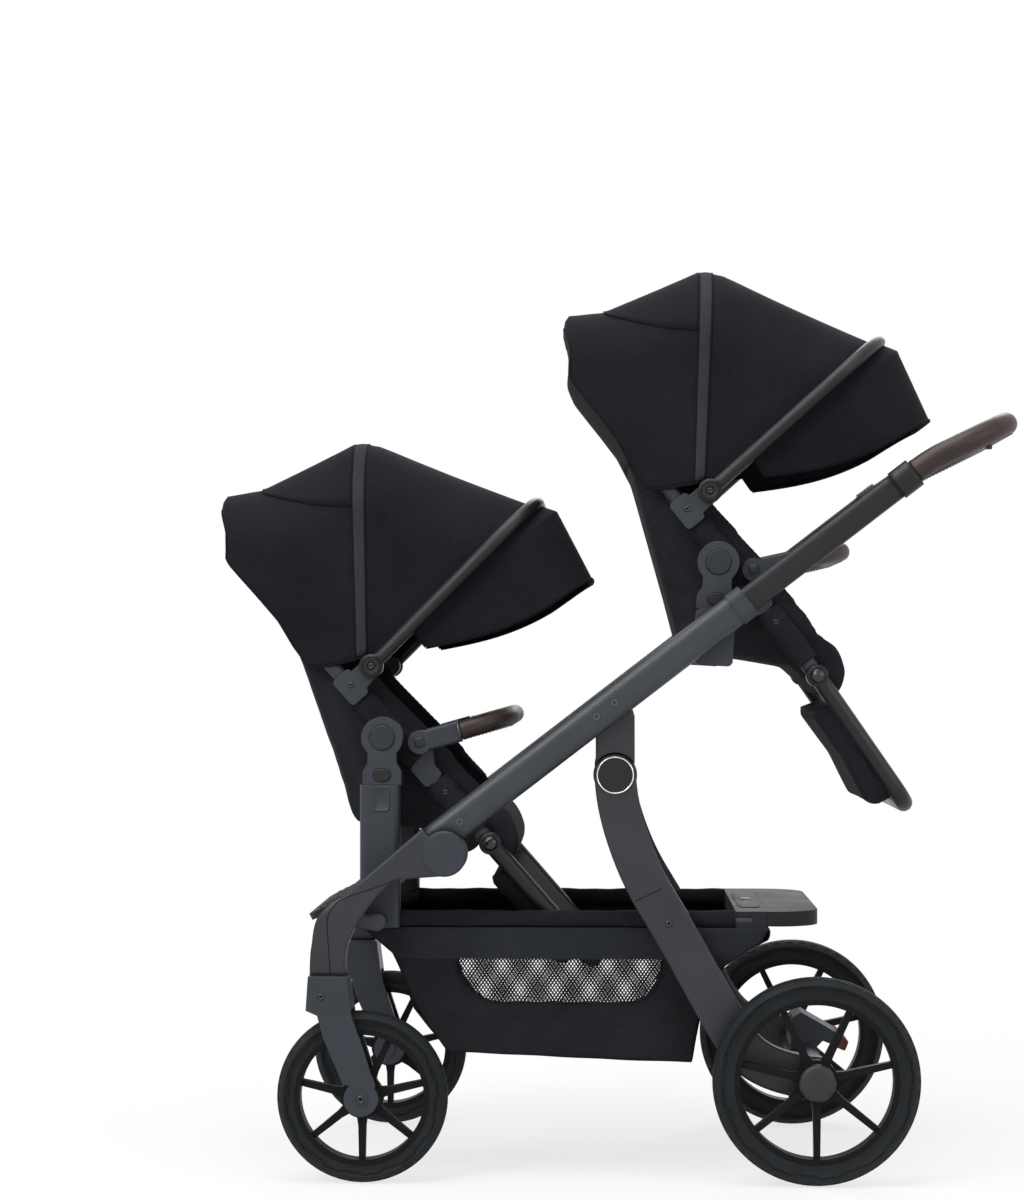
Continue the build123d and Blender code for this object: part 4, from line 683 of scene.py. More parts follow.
def hooped(share, round_, table, half, crown=5.0, sag=5.0):
    """Cloth over hoops. Each hoop is an upright, a corner arc and a level top, mirrored at the middle.

    share runs from the first hoop to the last, and round_ from the near foot over to the far one.
    The top is crowned by a parabola, and between hoops the cloth is drawn in by a sine.
    """
    knots = table[:, 0]
    fx, fz, cx, cz, r = (np.interp(share, knots, table[:, i])[:, None] for i in range(1, 6))
    height = np.hypot(cx - fx, cz - fz)
    upright = height - r
    arc = np.pi * r / 2
    total = 2 * upright + 2 * arc + 2 * (half - r)
    gone = np.minimum(round_, 1 - round_)[None, :] * total
    bend = np.clip((gone - upright) / r, 0, np.pi / 2)
    top = np.maximum(gone - upright - arc, 0)
    y = -(half - r * (1 - np.cos(bend)) - top)
    h = np.minimum(gone, upright) + r * np.sin(bend)
    y = np.where(round_[None, :] > 0.5, -y, y)
    h = h + crown * (1 - (y / half) ** 2) * np.clip(h / height, 0, 1) ** 6
    way = np.stack([cx - fx, 0 * fx, cz - fz], -1) / height[..., None]
    points = np.stack([fx + 0 * y, y, fz + 0 * y], -1) + h[..., None] * way
    span = np.interp(share, [0, 0.5, 0.56, 1], [0, 1, 1, 2]) if len(table) > 4 else share * 0
    draw = (np.abs(np.sin(np.pi * span)) * np.interp(share, [0.2, 0.5], [0, 1]))[:, None] * sag * np.sin(np.pi * np.clip(h / height, 0, 1) * 0.9) ** 0.7
    normal = np.cross(np.gradient(points, axis=0), np.gradient(points, axis=1))
    normal /= np.linalg.norm(normal, axis=-1)[..., None] + 1e-9
    return points, normal, draw


def canopy_surface(share, round_):
    """Canopy cloth and its outward normal.

    The hooped surface is drawn in between hoops, puckers by a sine near the rear edge,
    and leans back there, by heights read off the real edge, so that it hides the seat's tube.
    """
    points, normal, draw = hooped(share, round_, hoops, 188.5)
    middle = len(round_) // 2
    if normal[len(share) // 2, middle, 2] < 0:
        normal = -normal
    near_edge = np.exp(-((share / 0.15) ** 1.5))[:, None]
    z = points[..., 2]
    pucker = 1.3 * np.sin(z / 15 + points[..., 0] / 29) * near_edge
    lean = np.interp(z, [106, 130, 167, 200, 232, 248, 257, 270, 295, 326], [0, 4, 5, 14.5, 25, 30, 29, 21, 8, 0])
    points = points - normal * (draw - pucker)[..., None]
    points[..., 0] -= lean * near_edge
    return points, normal


def cloth_sheet(name, points, material, thickness=1.2):
    """Thin cloth: the points' surface with a wall added by Solidify."""
    piece = grid_object(name, points / 1000, material)
    wall = piece.modifiers.new("wall", "SOLIDIFY")
    wall.thickness = thickness / 1000
    wall.offset = 0.0
    return piece


def edge_binding(name, path, material, radius=1.7, sides=8):
    """Bound edge: a thin tube along an edge of the cloth, upright by the Y axis where it can be."""
    along = np.gradient(path, axis=0)
    along /= np.linalg.norm(along, axis=1)[:, None] + 1e-9
    guide = np.array([0.71, 0.05, 0.70])
    side = np.cross(along, guide)
    side /= np.linalg.norm(side, axis=1)[:, None] + 1e-9
    high = np.cross(side, along)
    turn = np.linspace(0, 2 * np.pi, sides, endpoint=False)
    ring = np.cos(turn)[None, :, None] * high[:, None] + np.sin(turn)[None, :, None] * side[:, None]
    return grid_object(name, (path[:, None] + radius * ring) / 1000, material, close_v=True, caps=True)


round_ = np.linspace(0, 1, 121)
for level in seats:
    share = np.unique(np.round(np.concatenate([np.linspace(0, 1, 71), hoops[:, 0]]), 6))
    points, normal = canopy_surface(share, round_)
    body = [f"{level}_seat", f"{level}_canopy_front"]
    start = (seated(level, [-236, 0, 340]) / 1000).tolist()
    end = (seated(level, [212, 0, 330]) / 1000).tolist()
    main = cloth_sheet(f"{level}_canopy_cloth", seated(level, points), canopy_cloth)
    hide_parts(f"{level}_canopy")
    parts = [main]
    band = np.linspace(0.503, 0.557, 7)
    points, normal = canopy_surface(band, np.linspace(0.004, 0.996, 121))
    lift = 1.0 + 1.5 * np.sin(np.pi * np.linspace(0.08, 0.92, 7))[:, None, None]
    strip = cloth_sheet(f"{level}_canopy_strip", seated(level, points + normal * lift), strip_cloth, 1.0)
    parts.append(strip)
    for i, at in enumerate((0, 6)):
        rim = points[at] + normal[at] * 1.4
        parts.append(edge_binding(f"{level}_strip_piping_{i}", seated(level, rim), binding_cloth, 1.3))
    flap_share = np.linspace(0.265, 0.50, 25)
    foot_z, crown_z, corner = (np.interp(flap_share, hoops[:, 0], hoops[:, i]) for i in (2, 4, 5))
    foot_x, crown_x = (np.interp(flap_share, hoops[:, 0], hoops[:, i]) for i in (1, 3))
    height = np.hypot(crown_x - foot_x, crown_z - foot_z)
    seam_z = np.interp(flap_share, [0.265, 0.33, 0.40, 0.50], [351, 341, 334, 331])
    lift = (seam_z - foot_z) / (crown_z - foot_z) * height - (height - corner)
    turn = np.arcsin(np.clip(lift / corner, 0, 0.999))
    total = 2 * (height - corner) + np.pi * corner + 2 * (188 - corner)
    side_edge = np.minimum((height - corner + turn * corner) / total, 0.42)
    rows = []
    for at, edge in zip(flap_share, side_edge):
        row, out = canopy_surface(np.array([at - 0.002, at, at + 0.002]), np.linspace(edge, 1 - edge, 41))
        rows.append(row[1] + out[1] * 2.0)
    rows = np.array(rows)
    flap = cloth_sheet(f"{level}_vent_flap", seated(level, rows), canopy_cloth, 1.4)
    parts.append(flap)
    outline = np.concatenate([rows[::-1, 0], rows[0], rows[:, -1]])
    parts.append(edge_binding(f"{level}_vent_edge", seated(level, outline), binding_cloth, 0.9))
    full, out = canopy_surface(share, round_)
    half = full[0, :61]
    half = half[half[:, 2] > 132]
    ways = np.linspace(-1, 1, 41)
    back = half[:, None] * np.array([1, 0, 1]) + np.abs(half[:, 1])[:, None, None] * ways[None, :, None] * np.array([0, 1, 0])
    back[..., 0] -= 5 * (1 - ways**2)[None, :] * np.clip((350 - half[:, 2]) / 60, 0, 1)[:, None]
    panel = cloth_sheet(f"{level}_canopy_back", seated(level, back), canopy_cloth, 1.4)
    parts.append(panel)
    parts.append(edge_binding(f"{level}_canopy_back_edge", seated(level, back[0]), binding_cloth, 1.6))
    for i, edge in enumerate((full[0], full[:, 0], full[:, -1])):
        parts.append(edge_binding(f"{level}_canopy_edge_{i}", seated(level, edge), binding_cloth, 1.6))
    for piece in parts:
        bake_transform(piece)

# Visors: the stiff front of each canopy, folded round a ridge just ahead of the bow,
# with a lining that shows as a thick dark edge underneath.
visor_hoops = np.array([
    [0.00, 24.9, 144.2, 214, 335, 96],
    [0.22, 44, 149, 243, 325, 92],
    [1.00, 60, 129, 294, 227, 86],
])
for level in seats:
    share = np.unique(np.concatenate([np.linspace(0, 1, 41), [0.22]]))
    points, normal, _ = hooped(share, round_, visor_hoops, 186.0, crown=4.0, sag=0)
    foot = np.stack([np.interp(share, visor_hoops[:, 0], visor_hoops[:, i]) for i in (1, 2)], -1)
    crown = np.stack([np.interp(share, visor_hoops[:, 0], visor_hoops[:, i]) for i in (3, 4)], -1)
    way = crown - foot
    length = np.linalg.norm(way, axis=1)
    offset = points[..., [0, 2]] - foot[:, None]
    gone = (offset * way[:, None]).sum(-1) / length[:, None] ** 2
    belly = 17 * np.sin(np.pi * np.clip(gone, 0, 1)) * share[:, None] ** 1.5 * (np.abs(points[..., 1]) / 186) ** 3
    points[..., 0] += belly * (way[:, 1] / length)[:, None]
    points[..., 2] -= belly * (way[:, 0] / length)[:, None]
    visor = cloth_sheet(f"{level}_visor_cloth", seated(level, points), canopy_cloth, 2.4)
    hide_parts(f"{level}_canopy_visor")
    hem = edge_binding(f"{level}_visor_hem", seated(level, points[-1]), binding_cloth, 3.2)
    near = edge_binding(f"{level}_visor_side_near", seated(level, points[:, 0]), binding_cloth, 2.2)
    far = edge_binding(f"{level}_visor_side_far", seated(level, points[:, -1]), binding_cloth, 2.2)
    for piece in (visor, hem, near, far):
        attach(piece, f"{level}_canopy_front")

# Seat pads: quilted black cloth over foam, a bucket between the side tubes.
# Each starts from the solid's outline, is blown up a little as cloth, and is then sewn in.
pad_cloth = cloth("pad_cloth", (0.0160, 0.0165, 0.0198), 0.0014, uv=False, crease=0.7)


def padded_copy(name, node_name, voxel, cap, frames=20):
    """A stuffed copy of a solid: remeshed, drawn in by a millimetre, blown up as cloth, its travel capped."""
    piece = nodes[node_name].copy()
    piece.data = piece.data.copy()
    piece.name = name
    for key in list(piece.keys()):
        del piece[key]
    piece.parent = None
    piece.hide_render = False
    piece.hide_viewport = False
    scene.collection.objects.link(piece)
    piece.data.materials.clear()
    form = bmesh.new()
    form.from_mesh(piece.data)
    bmesh.ops.remove_doubles(form, verts=form.verts, dist=1e-6)
    form.to_mesh(piece.data)
    form.free()
    while piece.data.uv_layers:
        piece.data.uv_layers.remove(piece.data.uv_layers[0])
    remesh = piece.modifiers.new("remesh", "REMESH")
    remesh.mode = "VOXEL"
    remesh.voxel_size = voxel
    settle(piece)
    soften = piece.modifiers.new("soften", "SMOOTH")
    soften.factor = 0.5
    soften.iterations = 6
    settle(piece)
    rest = vertices(piece)
    puff = piece.modifiers.new("puff", "CLOTH")
    puff.settings.quality = 4
    puff.settings.use_pressure = True
    puff.settings.uniform_pressure_force = 4.0
    puff.settings.effector_weights.gravity = 0.0
    puff.point_cache.frame_start = 1
    puff.point_cache.frame_end = frames
    for step in range(1, frames + 1):
        scene.frame_set(step)
    settle(piece)
    scene.frame_set(1)
    moved = vertices(piece) - rest
    travel = np.linalg.norm(moved, axis=1)[:, None] + 1e-12
    put_vertices(piece, rest + moved * np.minimum(1, cap / travel))
    return piece


def settle(piece):
    """Apply a piece's modifiers to its mesh."""
    graph = bpy.context.evaluated_depsgraph_get()
    made = bpy.data.meshes.new_from_object(piece.evaluated_get(graph))
    piece.modifiers.clear()
    piece.data = made


def vertices(piece):
    flat = np.zeros(len(piece.data.vertices) * 3, np.float32)
    piece.data.vertices.foreach_get("co", flat)
    return flat.reshape(-1, 3).astype(float)


def put_vertices(piece, points):
    piece.data.vertices.foreach_set("co", points.astype(np.float32).ravel())
    piece.data.update()


def sew(piece, level, seams, leg=False):
    """Press sewn lines into a pad: each point moves against its normal by a bell curve of its distance to a line."""
    points = vertices(piece) * 1000
    place = seats[level]
    local = turned(points - np.array([place["hub"][0], 0, place["hub"][1]]), (0, 0), -place["tilt"])
    if leg:
        local = turned(local, leg_hinge, -place["drop"])
    normal = np.zeros(len(points) * 3, np.float32)
    piece.data.vertices.foreach_get("normal", normal)
    normal = normal.reshape(-1, 3)
    depth = np.zeros(len(points))
    for start, end, width, deep, inner in seams:
        start, end = np.array(start, float), np.array(end, float)
        way = end - start
        t = np.clip(((local - start) @ way) / (way @ way), 0, 1)
        gap = np.linalg.norm(local - start - t[:, None] * way, axis=1)
        mask = np.abs(local[:, 1]) < inner[1] if inner else 1.0
        mask = mask * (np.abs(local[:, 1]) > inner[0]) if inner else mask
        depth = np.maximum(depth, deep * np.exp(-((gap / width) ** 2)) * mask)
    put_vertices(piece, (points - normal * depth[:, None]) / 1000)


def finish_pad(piece, material, level):
    piece.data.materials.clear()
    piece.data.materials.append(material)
    piece.data.polygons.foreach_set("use_smooth", np.ones(len(piece.data.polygons), bool))
    piece.data.update()
    return piece


for level in seats:
    pad = padded_copy(f"{level}_seat_cushion", f"{level}_seat_pad", 0.006, 0.006)
    lines = []
    for along in (55, 120, 185, 250):
        x, z = -19 - 0.327 * along, -104 + 0.945 * along
        lines.append(((x, -138, z), (x, 138, z), 7, 5.0, (0, 146)))
    for x in (40, 90):
        lines.append(((x, -138, -106), (x, 138, -106), 7, 4.5, (0, 146)))
    for side in (-1, 1):
        lines.append(((-95, side * 163, 150), (60, side * 163, -40), 3, 2.0, None))
        lines.append(((60, side * 163, -40), (120, side * 163, -120), 3, 2.0, None))
    sew(pad, level, lines)
    finish_pad(pad, pad_cloth, level)
    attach(pad, f"{level}_seat")
    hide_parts(f"{level}_seat_pad")
    leg = padded_copy(f"{level}_leg_cushion", f"{level}_leg_pad", 0.005, 0.004)
    finish_pad(leg, pad_cloth, level)
    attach(leg, f"{level}_leg_rest")
    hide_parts(f"{level}_leg_pad")

# Cloth sleeves: the pad's edge is wrapped over each side tube and sewn behind it,
# from the canopy's bracket down to the knee, but for a gap at the bumper's clamp.
tube_way = np.array([-0.6668, 0, 0.7452])
tube_out = np.array([0.7452, 0, 0.6668])
for level in seats:
    for sign in (-1, 1):
        for part, (first, last) in enumerate(((24, 117), (158, 277))):
            run = np.linspace(first, last, int((last - first) / 2.8))
            turn = np.linspace(0, 2 * np.pi, 32, endpoint=False)
            pull = 0.7 * np.sin(run / 8.3) * np.sin(run / 31) + 0.4 * np.sin(run / 3.7)
            rim = np.minimum(run - first, last - run)
            pull = pull - 1.6 * np.exp(-((rim / 2.5) ** 2))
            broad = 17.5 + 2.0 * np.sin(np.pi * (run - 24) / 253) + pull
            deep = 13.2 + 0.3 * pull
            centre = np.array([152.0, sign * 174.5, -152.0]) + run[:, None] * tube_way + 1.5 * tube_out
            ring = np.cos(turn)[None, :, None] * tube_out * broad[:, None, None]
            ring = ring + np.sin(turn)[None, :, None] * np.array([0, 1, 0]) * deep[:, None, None]
            rows = seated(level, centre[:, None] + ring) / 1000
            sleeve = grid_object(f"{level}_tube_sleeve_{part}_{sign}", rows, pad_cloth, close_v=True, caps=True)
            line = seated(level, centre - tube_out * broad[:, None] * 0.72 + np.array([0, sign * 10.2, 0]))
            seam = stitches(f"{level}_sleeve_seam_{part}_{sign}", line, (0, 0), 0.5, (0, 1, 0), thread, 5.0, 3.4)
            for piece in (sleeve, seam):
                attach(piece, f"{level}_seat")

# Harness: ribbed webbing over the shoulders and lap, sewn pads, and a moulded buckle.
webbing = cloth("webbing", (0.0155, 0.016, 0.018), 0.0022)


def strap(name, path, width, normal_way, material, thickness=2.2):
    """Flat webbing: a path of points given a width along Y and a rounded edge by Solidify."""
    path = np.array(path, float)
    gone = np.concatenate([[0], np.cumsum(np.linalg.norm(np.diff(path, axis=0), axis=1))])
    at = np.linspace(0, gone[-1], 40)
    path = np.stack([np.interp(at, gone, path[:, i]) for i in range(3)], -1)
    across = np.linspace(-0.5, 0.5, 7)[None, :, None] * np.array(normal_way, float) * width
    piece = grid_object(name, (path[:, None] + across) / 1000, material)
    wall = piece.modifiers.new("wall", "SOLIDIFY")
    wall.thickness = thickness / 1000
    wall.offset = 0.0
    return piece


back_way = np.array([-0.327, 0, 0.945])
back_out = np.array([0.945, 0, 0.327])
for level in seats:
    pieces = []
    low = np.array([-17.5, 0, -105.0])
    for sign in (-1, 1):
        route = [low + back_way * a + back_out * b + np.array([0, sign * c, 0]) for a, b, c in ((66, 10, 22), (110, 8, 44), (180, 6, 52), (240, 5, 52), (252, 1, 52))]
        pieces.append(strap(f"{level}_shoulder_strap_{sign}", seated(level, route), 30, (0, 1, 0), webbing))
        cover = [low + back_way * a + back_out * b + np.array([0, sign * 50, 0]) for a, b in ((125, 10), (175, 11), (228, 9))]
        pieces.append(strap(f"{level}_shoulder_cover_{sign}", seated(level, cover), 46, (0, 1, 0), pad_cloth, 7))
        waist = [low + back_way * a + back_out * b + np.array([0, sign * c, 0]) for a, b, c in ((62, 10, 20), (60, 7, 80), (58, 3, 140))]
        pieces.append(strap(f"{level}_waist_strap_{sign}", seated(level, waist), 28, back_way, webbing))
    crotch = [np.array([62, 0, -101.0]), np.array([34, 0, -99.0]), np.array([10, 0, -88.0]), low + back_way * 50 + back_out * 12]
    pieces.append(strap(f"{level}_crotch_strap", seated(level, crotch), 32, (0, 1, 0), webbing))
    turn = np.linspace(0, 2 * np.pi, 40, endpoint=False)
    rows = []
    for depth, size in ((6, 0.5), (6, 24), (8, 27), (15, 27), (18, 24), (19, 12), (19, 0.5)):
        r = size * (np.abs(np.cos(turn)) ** 4 + np.abs(np.sin(turn)) ** 4) ** -0.25
        rows.append(low + back_way * 62 + back_out * depth + r[:, None] * (np.cos(turn)[:, None] * np.array([0, 1, 0]) + np.sin(turn)[:, None] * back_way))
    buckle = grid_object(f"{level}_harness_buckle", seated(level, np.array(rows)) / 1000, dark_plastic, close_v=True, caps=True)
    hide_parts(f"{level}_harness")
    for piece in [*pieces, buckle]:
        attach(piece, f"{level}_seat")

# Bumper bars: a leather sleeve sewn round each bent bar, with moulded end sockets.
for level in seats:
    slope = np.array([math.cos(math.radians(15.8)), 0, math.sin(math.radians(15.8))])
    eye = np.array([52.0, 0, -7.0])
    near, far = np.array([0, -194.5, 0]), np.array([0, 194.5, 0])
    route = [eye + 60 * slope + near, eye + 131 * slope + near, eye + 131 * slope + far, eye + 60 * slope + far]
    path = seated(level, rounded(route, [70, 70], 3))
    up = seated(level, eye + np.array([-slope[2], 0, slope[0]])) - seated(level, eye)
    sleeve = bar(f"{level}_bumper_leather", path, grip_sleeve("", path, 13.6, 0.7, None), up, handle_leather, 24)
    seam = stitches(f"{level}_bumper_seam", path, (-13.6, 0), 0.6, up, thread)
    for piece in (sleeve, seam):
        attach(piece, f"{level}_bumper")
    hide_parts(f"{level}_bumper_grip")

# Small fittings on the seats: screw heads on the canopy's brackets and pivots, the
# bumper's release buttons with their ribbed collars, screws on the forks, round
# covers on the fold knuckles, and a latch on each post.
screw_black = steel("screw_black", (0.055, 0.055, 0.06), 0.25)
dome = [(0.3, 0.7), (1.6, 0.7), (1.8, 1.7), (3.4, 1.5), (4.3, 0.6), (4.4, -0.5), (0.3, -0.5)]
collar_metal = steel("collar_metal", (0.10, 0.10, 0.105), 0.32)
for level in seats:
    for side, sign in (("left", -1), ("right", 1)):
        shape = [(r, sign * y) for r, y in dome]
        for i, (x, y, z) in enumerate(((-47.6, 193, 74.4), (-17.3, 207.2, 101.6), (88, 187, -79))):
            head = lathe(f"{level}_screw_{side}_{i}", shape, seated(level, [x, sign * y, z]), screw_black, 24)
            rider = f"{level}_canopy_front" if i == 1 else f"{level}_seat"
            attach(head, rider)
        knob = [(0.4, 6.2), (1.2, 6.2), (5, 5.5), (9, 3.2), (11, 0.4), (11, -0.5), (0.4, -0.5)]
        knob = [(r, sign * lift) for r, lift in knob]
        leg_knob = lathe(f"{level}_leg_knob_{side}", knob, seated(level, [152, sign * 188.5, -152]), screw_black, 36)
        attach(leg_knob, f"{level}_leg_rest")
        rim = [(12.4, -0.5), (12.4, 0.9), (13.2, 1.1), (14, 0.9), (14, -0.5)]
        ring = lathe(f"{level}_bow_eye_ring_{side}", [(r, sign * y) for r, y in rim], seated(level, [-17.3, sign * 207, 101.6]), slide_coat, 48)
        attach(ring, f"{level}_canopy_front")
        turn = np.linspace(0, 2 * np.pi, 40, endpoint=False)
        rows = []
        for lift, size in ((-1, 7.6), (0.6, 7.6), (1.5, 6.8), (1.9, 4.5), (2.0, 0.3)):
            r = size * (np.abs(np.cos(turn)) ** 4 + np.abs(np.sin(turn)) ** 4) ** -0.25
            x = slope[0] * r * np.cos(turn) - slope[2] * r * np.sin(turn)
            z = slope[2] * r * np.cos(turn) + slope[0] * r * np.sin(turn)
            rows.append(np.stack([52 + x, np.full_like(x, sign * (203 + lift)), -7 + z], -1))
        button = grid_object(f"{level}_bumper_button_{side}", seated(level, np.array(rows)) / 1000, soft_plastic, close_v=True, caps=True)
        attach(button, f"{level}_bumper")
        arm = np.array([0, sign * 194.5, 0])
        for i, (start, end, size, finish) in enumerate(((57.4, 60.4, 14.5, collar_metal), (61.4, 64.4, 14.2, soft_plastic))):
            path = seated(level, [eye + at * slope + arm for at in (start, start + 0.8, end - 0.8, end)])
            collar = bar(f"{level}_bumper_collar_{side}_{i}", path, [size - 0.7, size, size, size - 0.7], (0, 1, 0), finish, 32)
            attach(collar, f"{level}_bumper")
for side, sign in (("left", -1), ("right", 1)):
    for i, (x, y, z, grow) in enumerate(((-359, 304, 120, 1.5), (-415, 302, 262, 1.15))):
        shape = [(r * grow, sign * lift * grow) for r, lift in dome]
        head = lathe(f"fork_screw_{side}_{i}", shape, (x, sign * y, z), screw_black, 32)
        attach(head, f"fork_{side}")
    shape = [(r * 1.15, sign * lift * 1.15) for r, lift in dome]
    head = lathe(f"leg_screw_{side}", shape, (70.5, sign * 246, 360.2), screw_black, 32)
    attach(head, "rear_legs")
    # The seams on the legs are thin beads in the darker groove rubber, painted shade for the gap of each seam.
    seams = (
        ("front_legs", 285, [(-403, 292), (-410, 389), (-314, 422)], [40]),
        ("rear_legs", 246, [(23.7, 391.8), (42.5, 400.6), (61.2, 409.5)], [60]),
    )
    for rider, face, route, bends in seams:
        path = rounded([(x, sign * face, z) for x, z in route], bends, 3) if rider == "front_legs" else np.array([(x, sign * face, z) for x, z in route], float)
        groove = pipe(f"{rider}_seam_{side}", path, 0.7, (0, 1, 0), painted_groove_shade, 6)
        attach(groove, rider)
    disc = [(0.5, 1.2), (1.2, 1.2), (28.5, 1.2), (29.6, 1.2), (30.4, 0.8), (30.8, -0.4), (0.5, -0.4)]
    disc = [(r, sign * lift) for r, lift in disc]
    cover = lathe(f"knuckle_cover_{side}", disc, (-244, sign * 285, 460), dark_plastic, 72)
    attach(cover, "front_legs")
for side, sign in (("near", -1), ("far", 1)):
    turn = np.linspace(0, 2 * np.pi, 64, endpoint=False)
    rows = []
    for lift, size in ((-0.5, 1.0), (0.7, 1.0), (1.1, 0.96), (1.1, 0.9), (0.5, 0.86), (0.5, 0.02)):
        r = size * (np.abs(np.cos(turn)) ** 5 + np.abs(np.sin(turn)) ** 5) ** -0.2
        rows.append(np.stack([-336.5 + 12.5 * r * np.cos(turn), np.full_like(r, sign * (230 + lift)), 534 + 18 * r * np.sin(turn)], -1))
    latch = grid_object(f"post_latch_{side}", np.array(rows) / 1000, dark_plastic, close_v=True, caps=True)
    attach(latch, "side_frame")

# Tray fittings: a lid with a clasp slot in front of the split.
for i, (x0, x1, half, lift, finish) in enumerate(((172, 206, 150, 1.2, tray_plastic), (181, 197, 22, 2.2, soft_plastic))):
    turn = np.linspace(0, 2 * np.pi, 72, endpoint=False)
    rows = []
    for up, size in ((-0.5, 1.0), (lift - 0.5, 1.0), (lift, 0.97), (lift, 0.02)):
        r = (np.abs(np.cos(turn)) ** 6 + np.abs(np.sin(turn)) ** 6) ** (-1 / 6) * size
        rows.append(np.stack([(x0 + x1) / 2 + (x1 - x0) / 2 * r * np.cos(turn), half * r * np.sin(turn), np.full_like(r, 375 + up)], -1))
    lid = grid_object(f"tray_lid_{i}", np.array(rows) / 1000, finish, close_v=True, caps=True)
    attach(lid, "side_frame")

# Basket: a black cloth bag hemmed round the side tubes, with a net window in each side.
# The near window is cut shallower than the far one, and light shows through both nets.


def bag_weave(name, window):
    """Coarse weave with a window of net: inside a level top and a rounded foot the cloth is open.

    The window's edge is where u to the power 2.4 plus v to the power 2.4 is 1, with u the way past
    its level foot and v the way down from its top. The net is two crossed gratings of cord.
    """
    f = Finish(name)
    left, right, flat_left, flat_right, top, foot = (w / 1000 for w in window)
    at = f.place()
    axes = f.node("ShaderNodeSeparateXYZ", {}, at)
    x, z = axes, Value(f, axes.socket.node.outputs[2])
    past_left = (flat_left - x) / (flat_left - left)
    past_right = (x - flat_right) / (right - flat_right)
    u = f.node("ShaderNodeMath", {"operation": "MAXIMUM"}, past_left, past_right)
    u = f.node("ShaderNodeMath", {"operation": "MAXIMUM"}, u, 0.0)
    v = (top - z) / (top - foot)
    down = f.node("ShaderNodeMath", {"operation": "MAXIMUM"}, v, 0.0)
    below_top = f.node("ShaderNodeMath", {"operation": "GREATER_THAN"}, v, 0.0)
    in_curve = f.node("ShaderNodeMath", {"operation": "LESS_THAN"}, u**2.4 + down**2.4, 1.0)
    window_share = below_top * in_curve
    pitch = 0.0052
    first = f.node("ShaderNodeMath", {"operation": "SINE"}, (x + z * 0.7) * (math.pi / pitch))
    second = f.node("ShaderNodeMath", {"operation": "SINE"}, (x - z * 0.7) * (math.pi / pitch))
    gap = f.node("ShaderNodeMath", {"operation": "MINIMUM"}, first * first, second * second)
    hole = f.node("ShaderNodeMath", {"operation": "GREATER_THAN"}, gap, 0.30)
    creases = f.noise(at, 8, 4.0, 0.6)
    fuzz = f.noise(at, 260, 3.0)
    warp = f.node("ShaderNodeMath", {"operation": "SINE"}, x * (2 * math.pi / 0.0016))
    weft = f.node("ShaderNodeMath", {"operation": "SINE"}, z * (2 * math.pi / 0.0016))
    shade = f.spread(fuzz * 0.4 + creases * 0.6, 0.38, 0.62)
    tint = f.blend(shade, (0.0104, 0.0114, 0.0132), (0.0166, 0.0182, 0.0208))
    band = f.spread(z, 0.306, 0.3085)
    tint = f.blend(band, tint, f.blend(shade, (0.0160, 0.0180, 0.0220), (0.0226, 0.0250, 0.0300)))
    f.set(Base_Color=tint, Roughness=f.spread(fuzz, 0.3, 0.7, 0.8, 0.92), Specular_IOR_Level=0.07)
    f.set(Alpha=1 - window_share * hole)
    return f.set(Normal=f.bump(warp * weft * 0.12 + fuzz * 0.3 + creases * 5.0, 0.5, 0.0012)).material


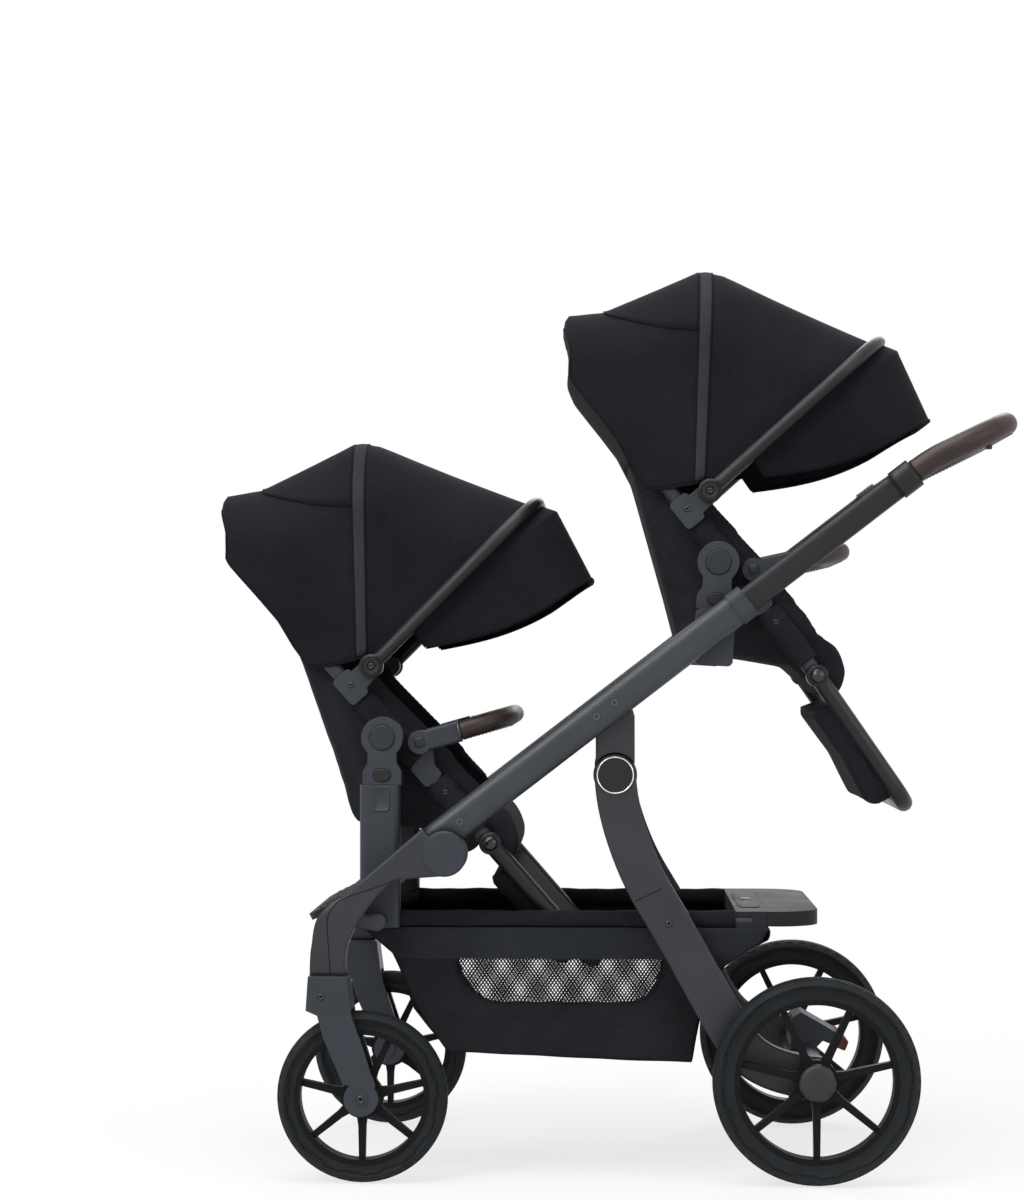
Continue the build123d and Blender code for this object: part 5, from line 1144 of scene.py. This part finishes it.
basket_cloth = cloth("basket_cloth", (0.0118, 0.0128, 0.0158), 0.0016, uv=False, crease=0.8)
basket_front, basket_rear = -309.7, 165.7
wall_top = 352.0
levels = np.linspace(0, 1, 40)
front_x = np.interp(levels, [0, 0.06, 0.2, 0.4, 0.62, 0.85, 1], [-362, -352, -322, -305, -289, -262, -243])
rear_x = np.interp(levels, [0, 0.1, 0.28, 0.42, 0.66, 0.9, 1], [214, 203, 152, 131, 114, 106, 104])
along = np.linspace(0, 1, 90)
windows = {
    "near": (-230.7, 60.8, -150, 0, 307.4, 246.3),
    "far": (-254, 74, -140, -10, 307.4, 186),
}
for side, sign in (("near", -1), ("far", 1)):
    x = front_x[:, None] + (rear_x - front_x)[:, None] * along[None, :]
    floor_z = 176 - 13 * along[None, :]
    z = wall_top + (floor_z - wall_top) * levels[:, None]
    bulge = 3.0 * np.sin(np.pi * levels)[:, None] * np.sin(np.pi * along)[None, :] ** 0.6
    ripple = 0.7 * np.sin(x / 17 + 2.2 * np.sin(z / 31)) * np.sin(np.pi * levels)[:, None]
    y = sign * (216.4 + bulge + ripple - 1.2 * np.exp(-(((z - 308) / 2.5) ** 2)))
    wall = grid_object(f"basket_side_{side}", np.stack([x, y, z], -1) / 1000, bag_weave(f"bag_weave_{side}", windows[side]))
    thick = wall.modifiers.new("wall", "SOLIDIFY")
    thick.thickness = 0.0012
    thick.offset = 0.0
    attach(wall, "side_frame")
    if side == "near":
        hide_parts("basket")
    left, right, flat_left, flat_right, top, foot = windows[side]
    t = np.linspace(0, np.pi / 2, 24)
    curve_x, curve_z = np.cos(t) ** (2 / 2.4), np.sin(t) ** (2 / 2.4)
    rim_x = np.concatenate([flat_left - (flat_left - left) * curve_x, flat_right + (right - flat_right) * curve_x[::-1]])
    rim_z = top - (top - foot) * np.concatenate([curve_z, curve_z[::-1]])
    rim_y = sign * (218.0 + 2.4 * np.sin(np.pi * (wall_top - rim_z) / 182))
    rim = pipe(f"window_rim_{side}", np.stack([rim_x, rim_y, rim_z], -1), 1.1, (0, 1, 0), basket_cloth, 8)
    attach(rim, "side_frame")
    t = np.linspace(0, 1, 80)
    seam_x = -262 + 372 * t
    seam_z = 262 - 62 * np.sin(np.pi * t) ** 0.45
    seam_y = sign * (217.3 + 2.8 * np.sin(np.pi * (wall_top - seam_z) / 182))
    row = stitches(f"pocket_seam_{side}", np.stack([seam_x, seam_y, seam_z], -1), (0, 0), 0.5, (0, 1, 0), thread, 4.6, 3.0)
    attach(row, "side_frame")

for side, sign in (("near", -1), ("far", 1)):
    x = np.linspace(basket_front, basket_rear, 90)
    pull = 0.5 * np.sin(x / 19) + 0.35 * np.sin(x / 7.3)
    radius = 12.4 + pull
    path = np.stack([x, sign * 206 + 0 * x, 363 + 0 * x], -1)
    hem = pipe(f"basket_hem_{side}", path, radius, (0, 1, 0), basket_cloth, 22, caps=False)
    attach(hem, "side_frame")
    seam_path = np.stack([x, sign * (217.6 + 0 * x), 309.5 + 0 * x], -1)
    seam = stitches(f"basket_seam_{side}", seam_path, (0, 0), 0.5, (0, 1, 0), thread, 5.0, 3.2)
    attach(seam, "side_frame")

width = np.linspace(-1, 1, 60)
floor_run = np.array([(-362.0, 350.0), (-340, 331), (-318, 312), (-304, 274), (-291, 237), (-268, 208), (-247, 186), (-244, 176), (-120, 170.5), (0, 165), (104, 162), (109, 192), (115, 222), (132, 262), (150, 300), (180, 318), (214, 336), (215, 348)])
gone = np.concatenate([[0], np.cumsum(np.hypot(*np.diff(floor_run, axis=0).T))])
at = np.linspace(0, gone[-1], 110)
run_x, run_z = np.interp(at, gone, floor_run[:, 0]), np.interp(at, gone, floor_run[:, 1])
y = np.broadcast_to(width * 216.0, (110, 60))
quilt = 0.3 * np.sin(run_x[:, None] / 15) * np.cos(width[None, :] * 9)
points = np.stack([np.broadcast_to(run_x[:, None], y.shape), y, run_z[:, None] + quilt], -1)
bag = grid_object("basket_floor", points / 1000, basket_cloth)
thick = bag.modifiers.new("wall", "SOLIDIFY")
thick.thickness = 0.0018
thick.offset = 1.0
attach(bag, "side_frame")

# The box round the finished object, floor left out.
low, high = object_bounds()
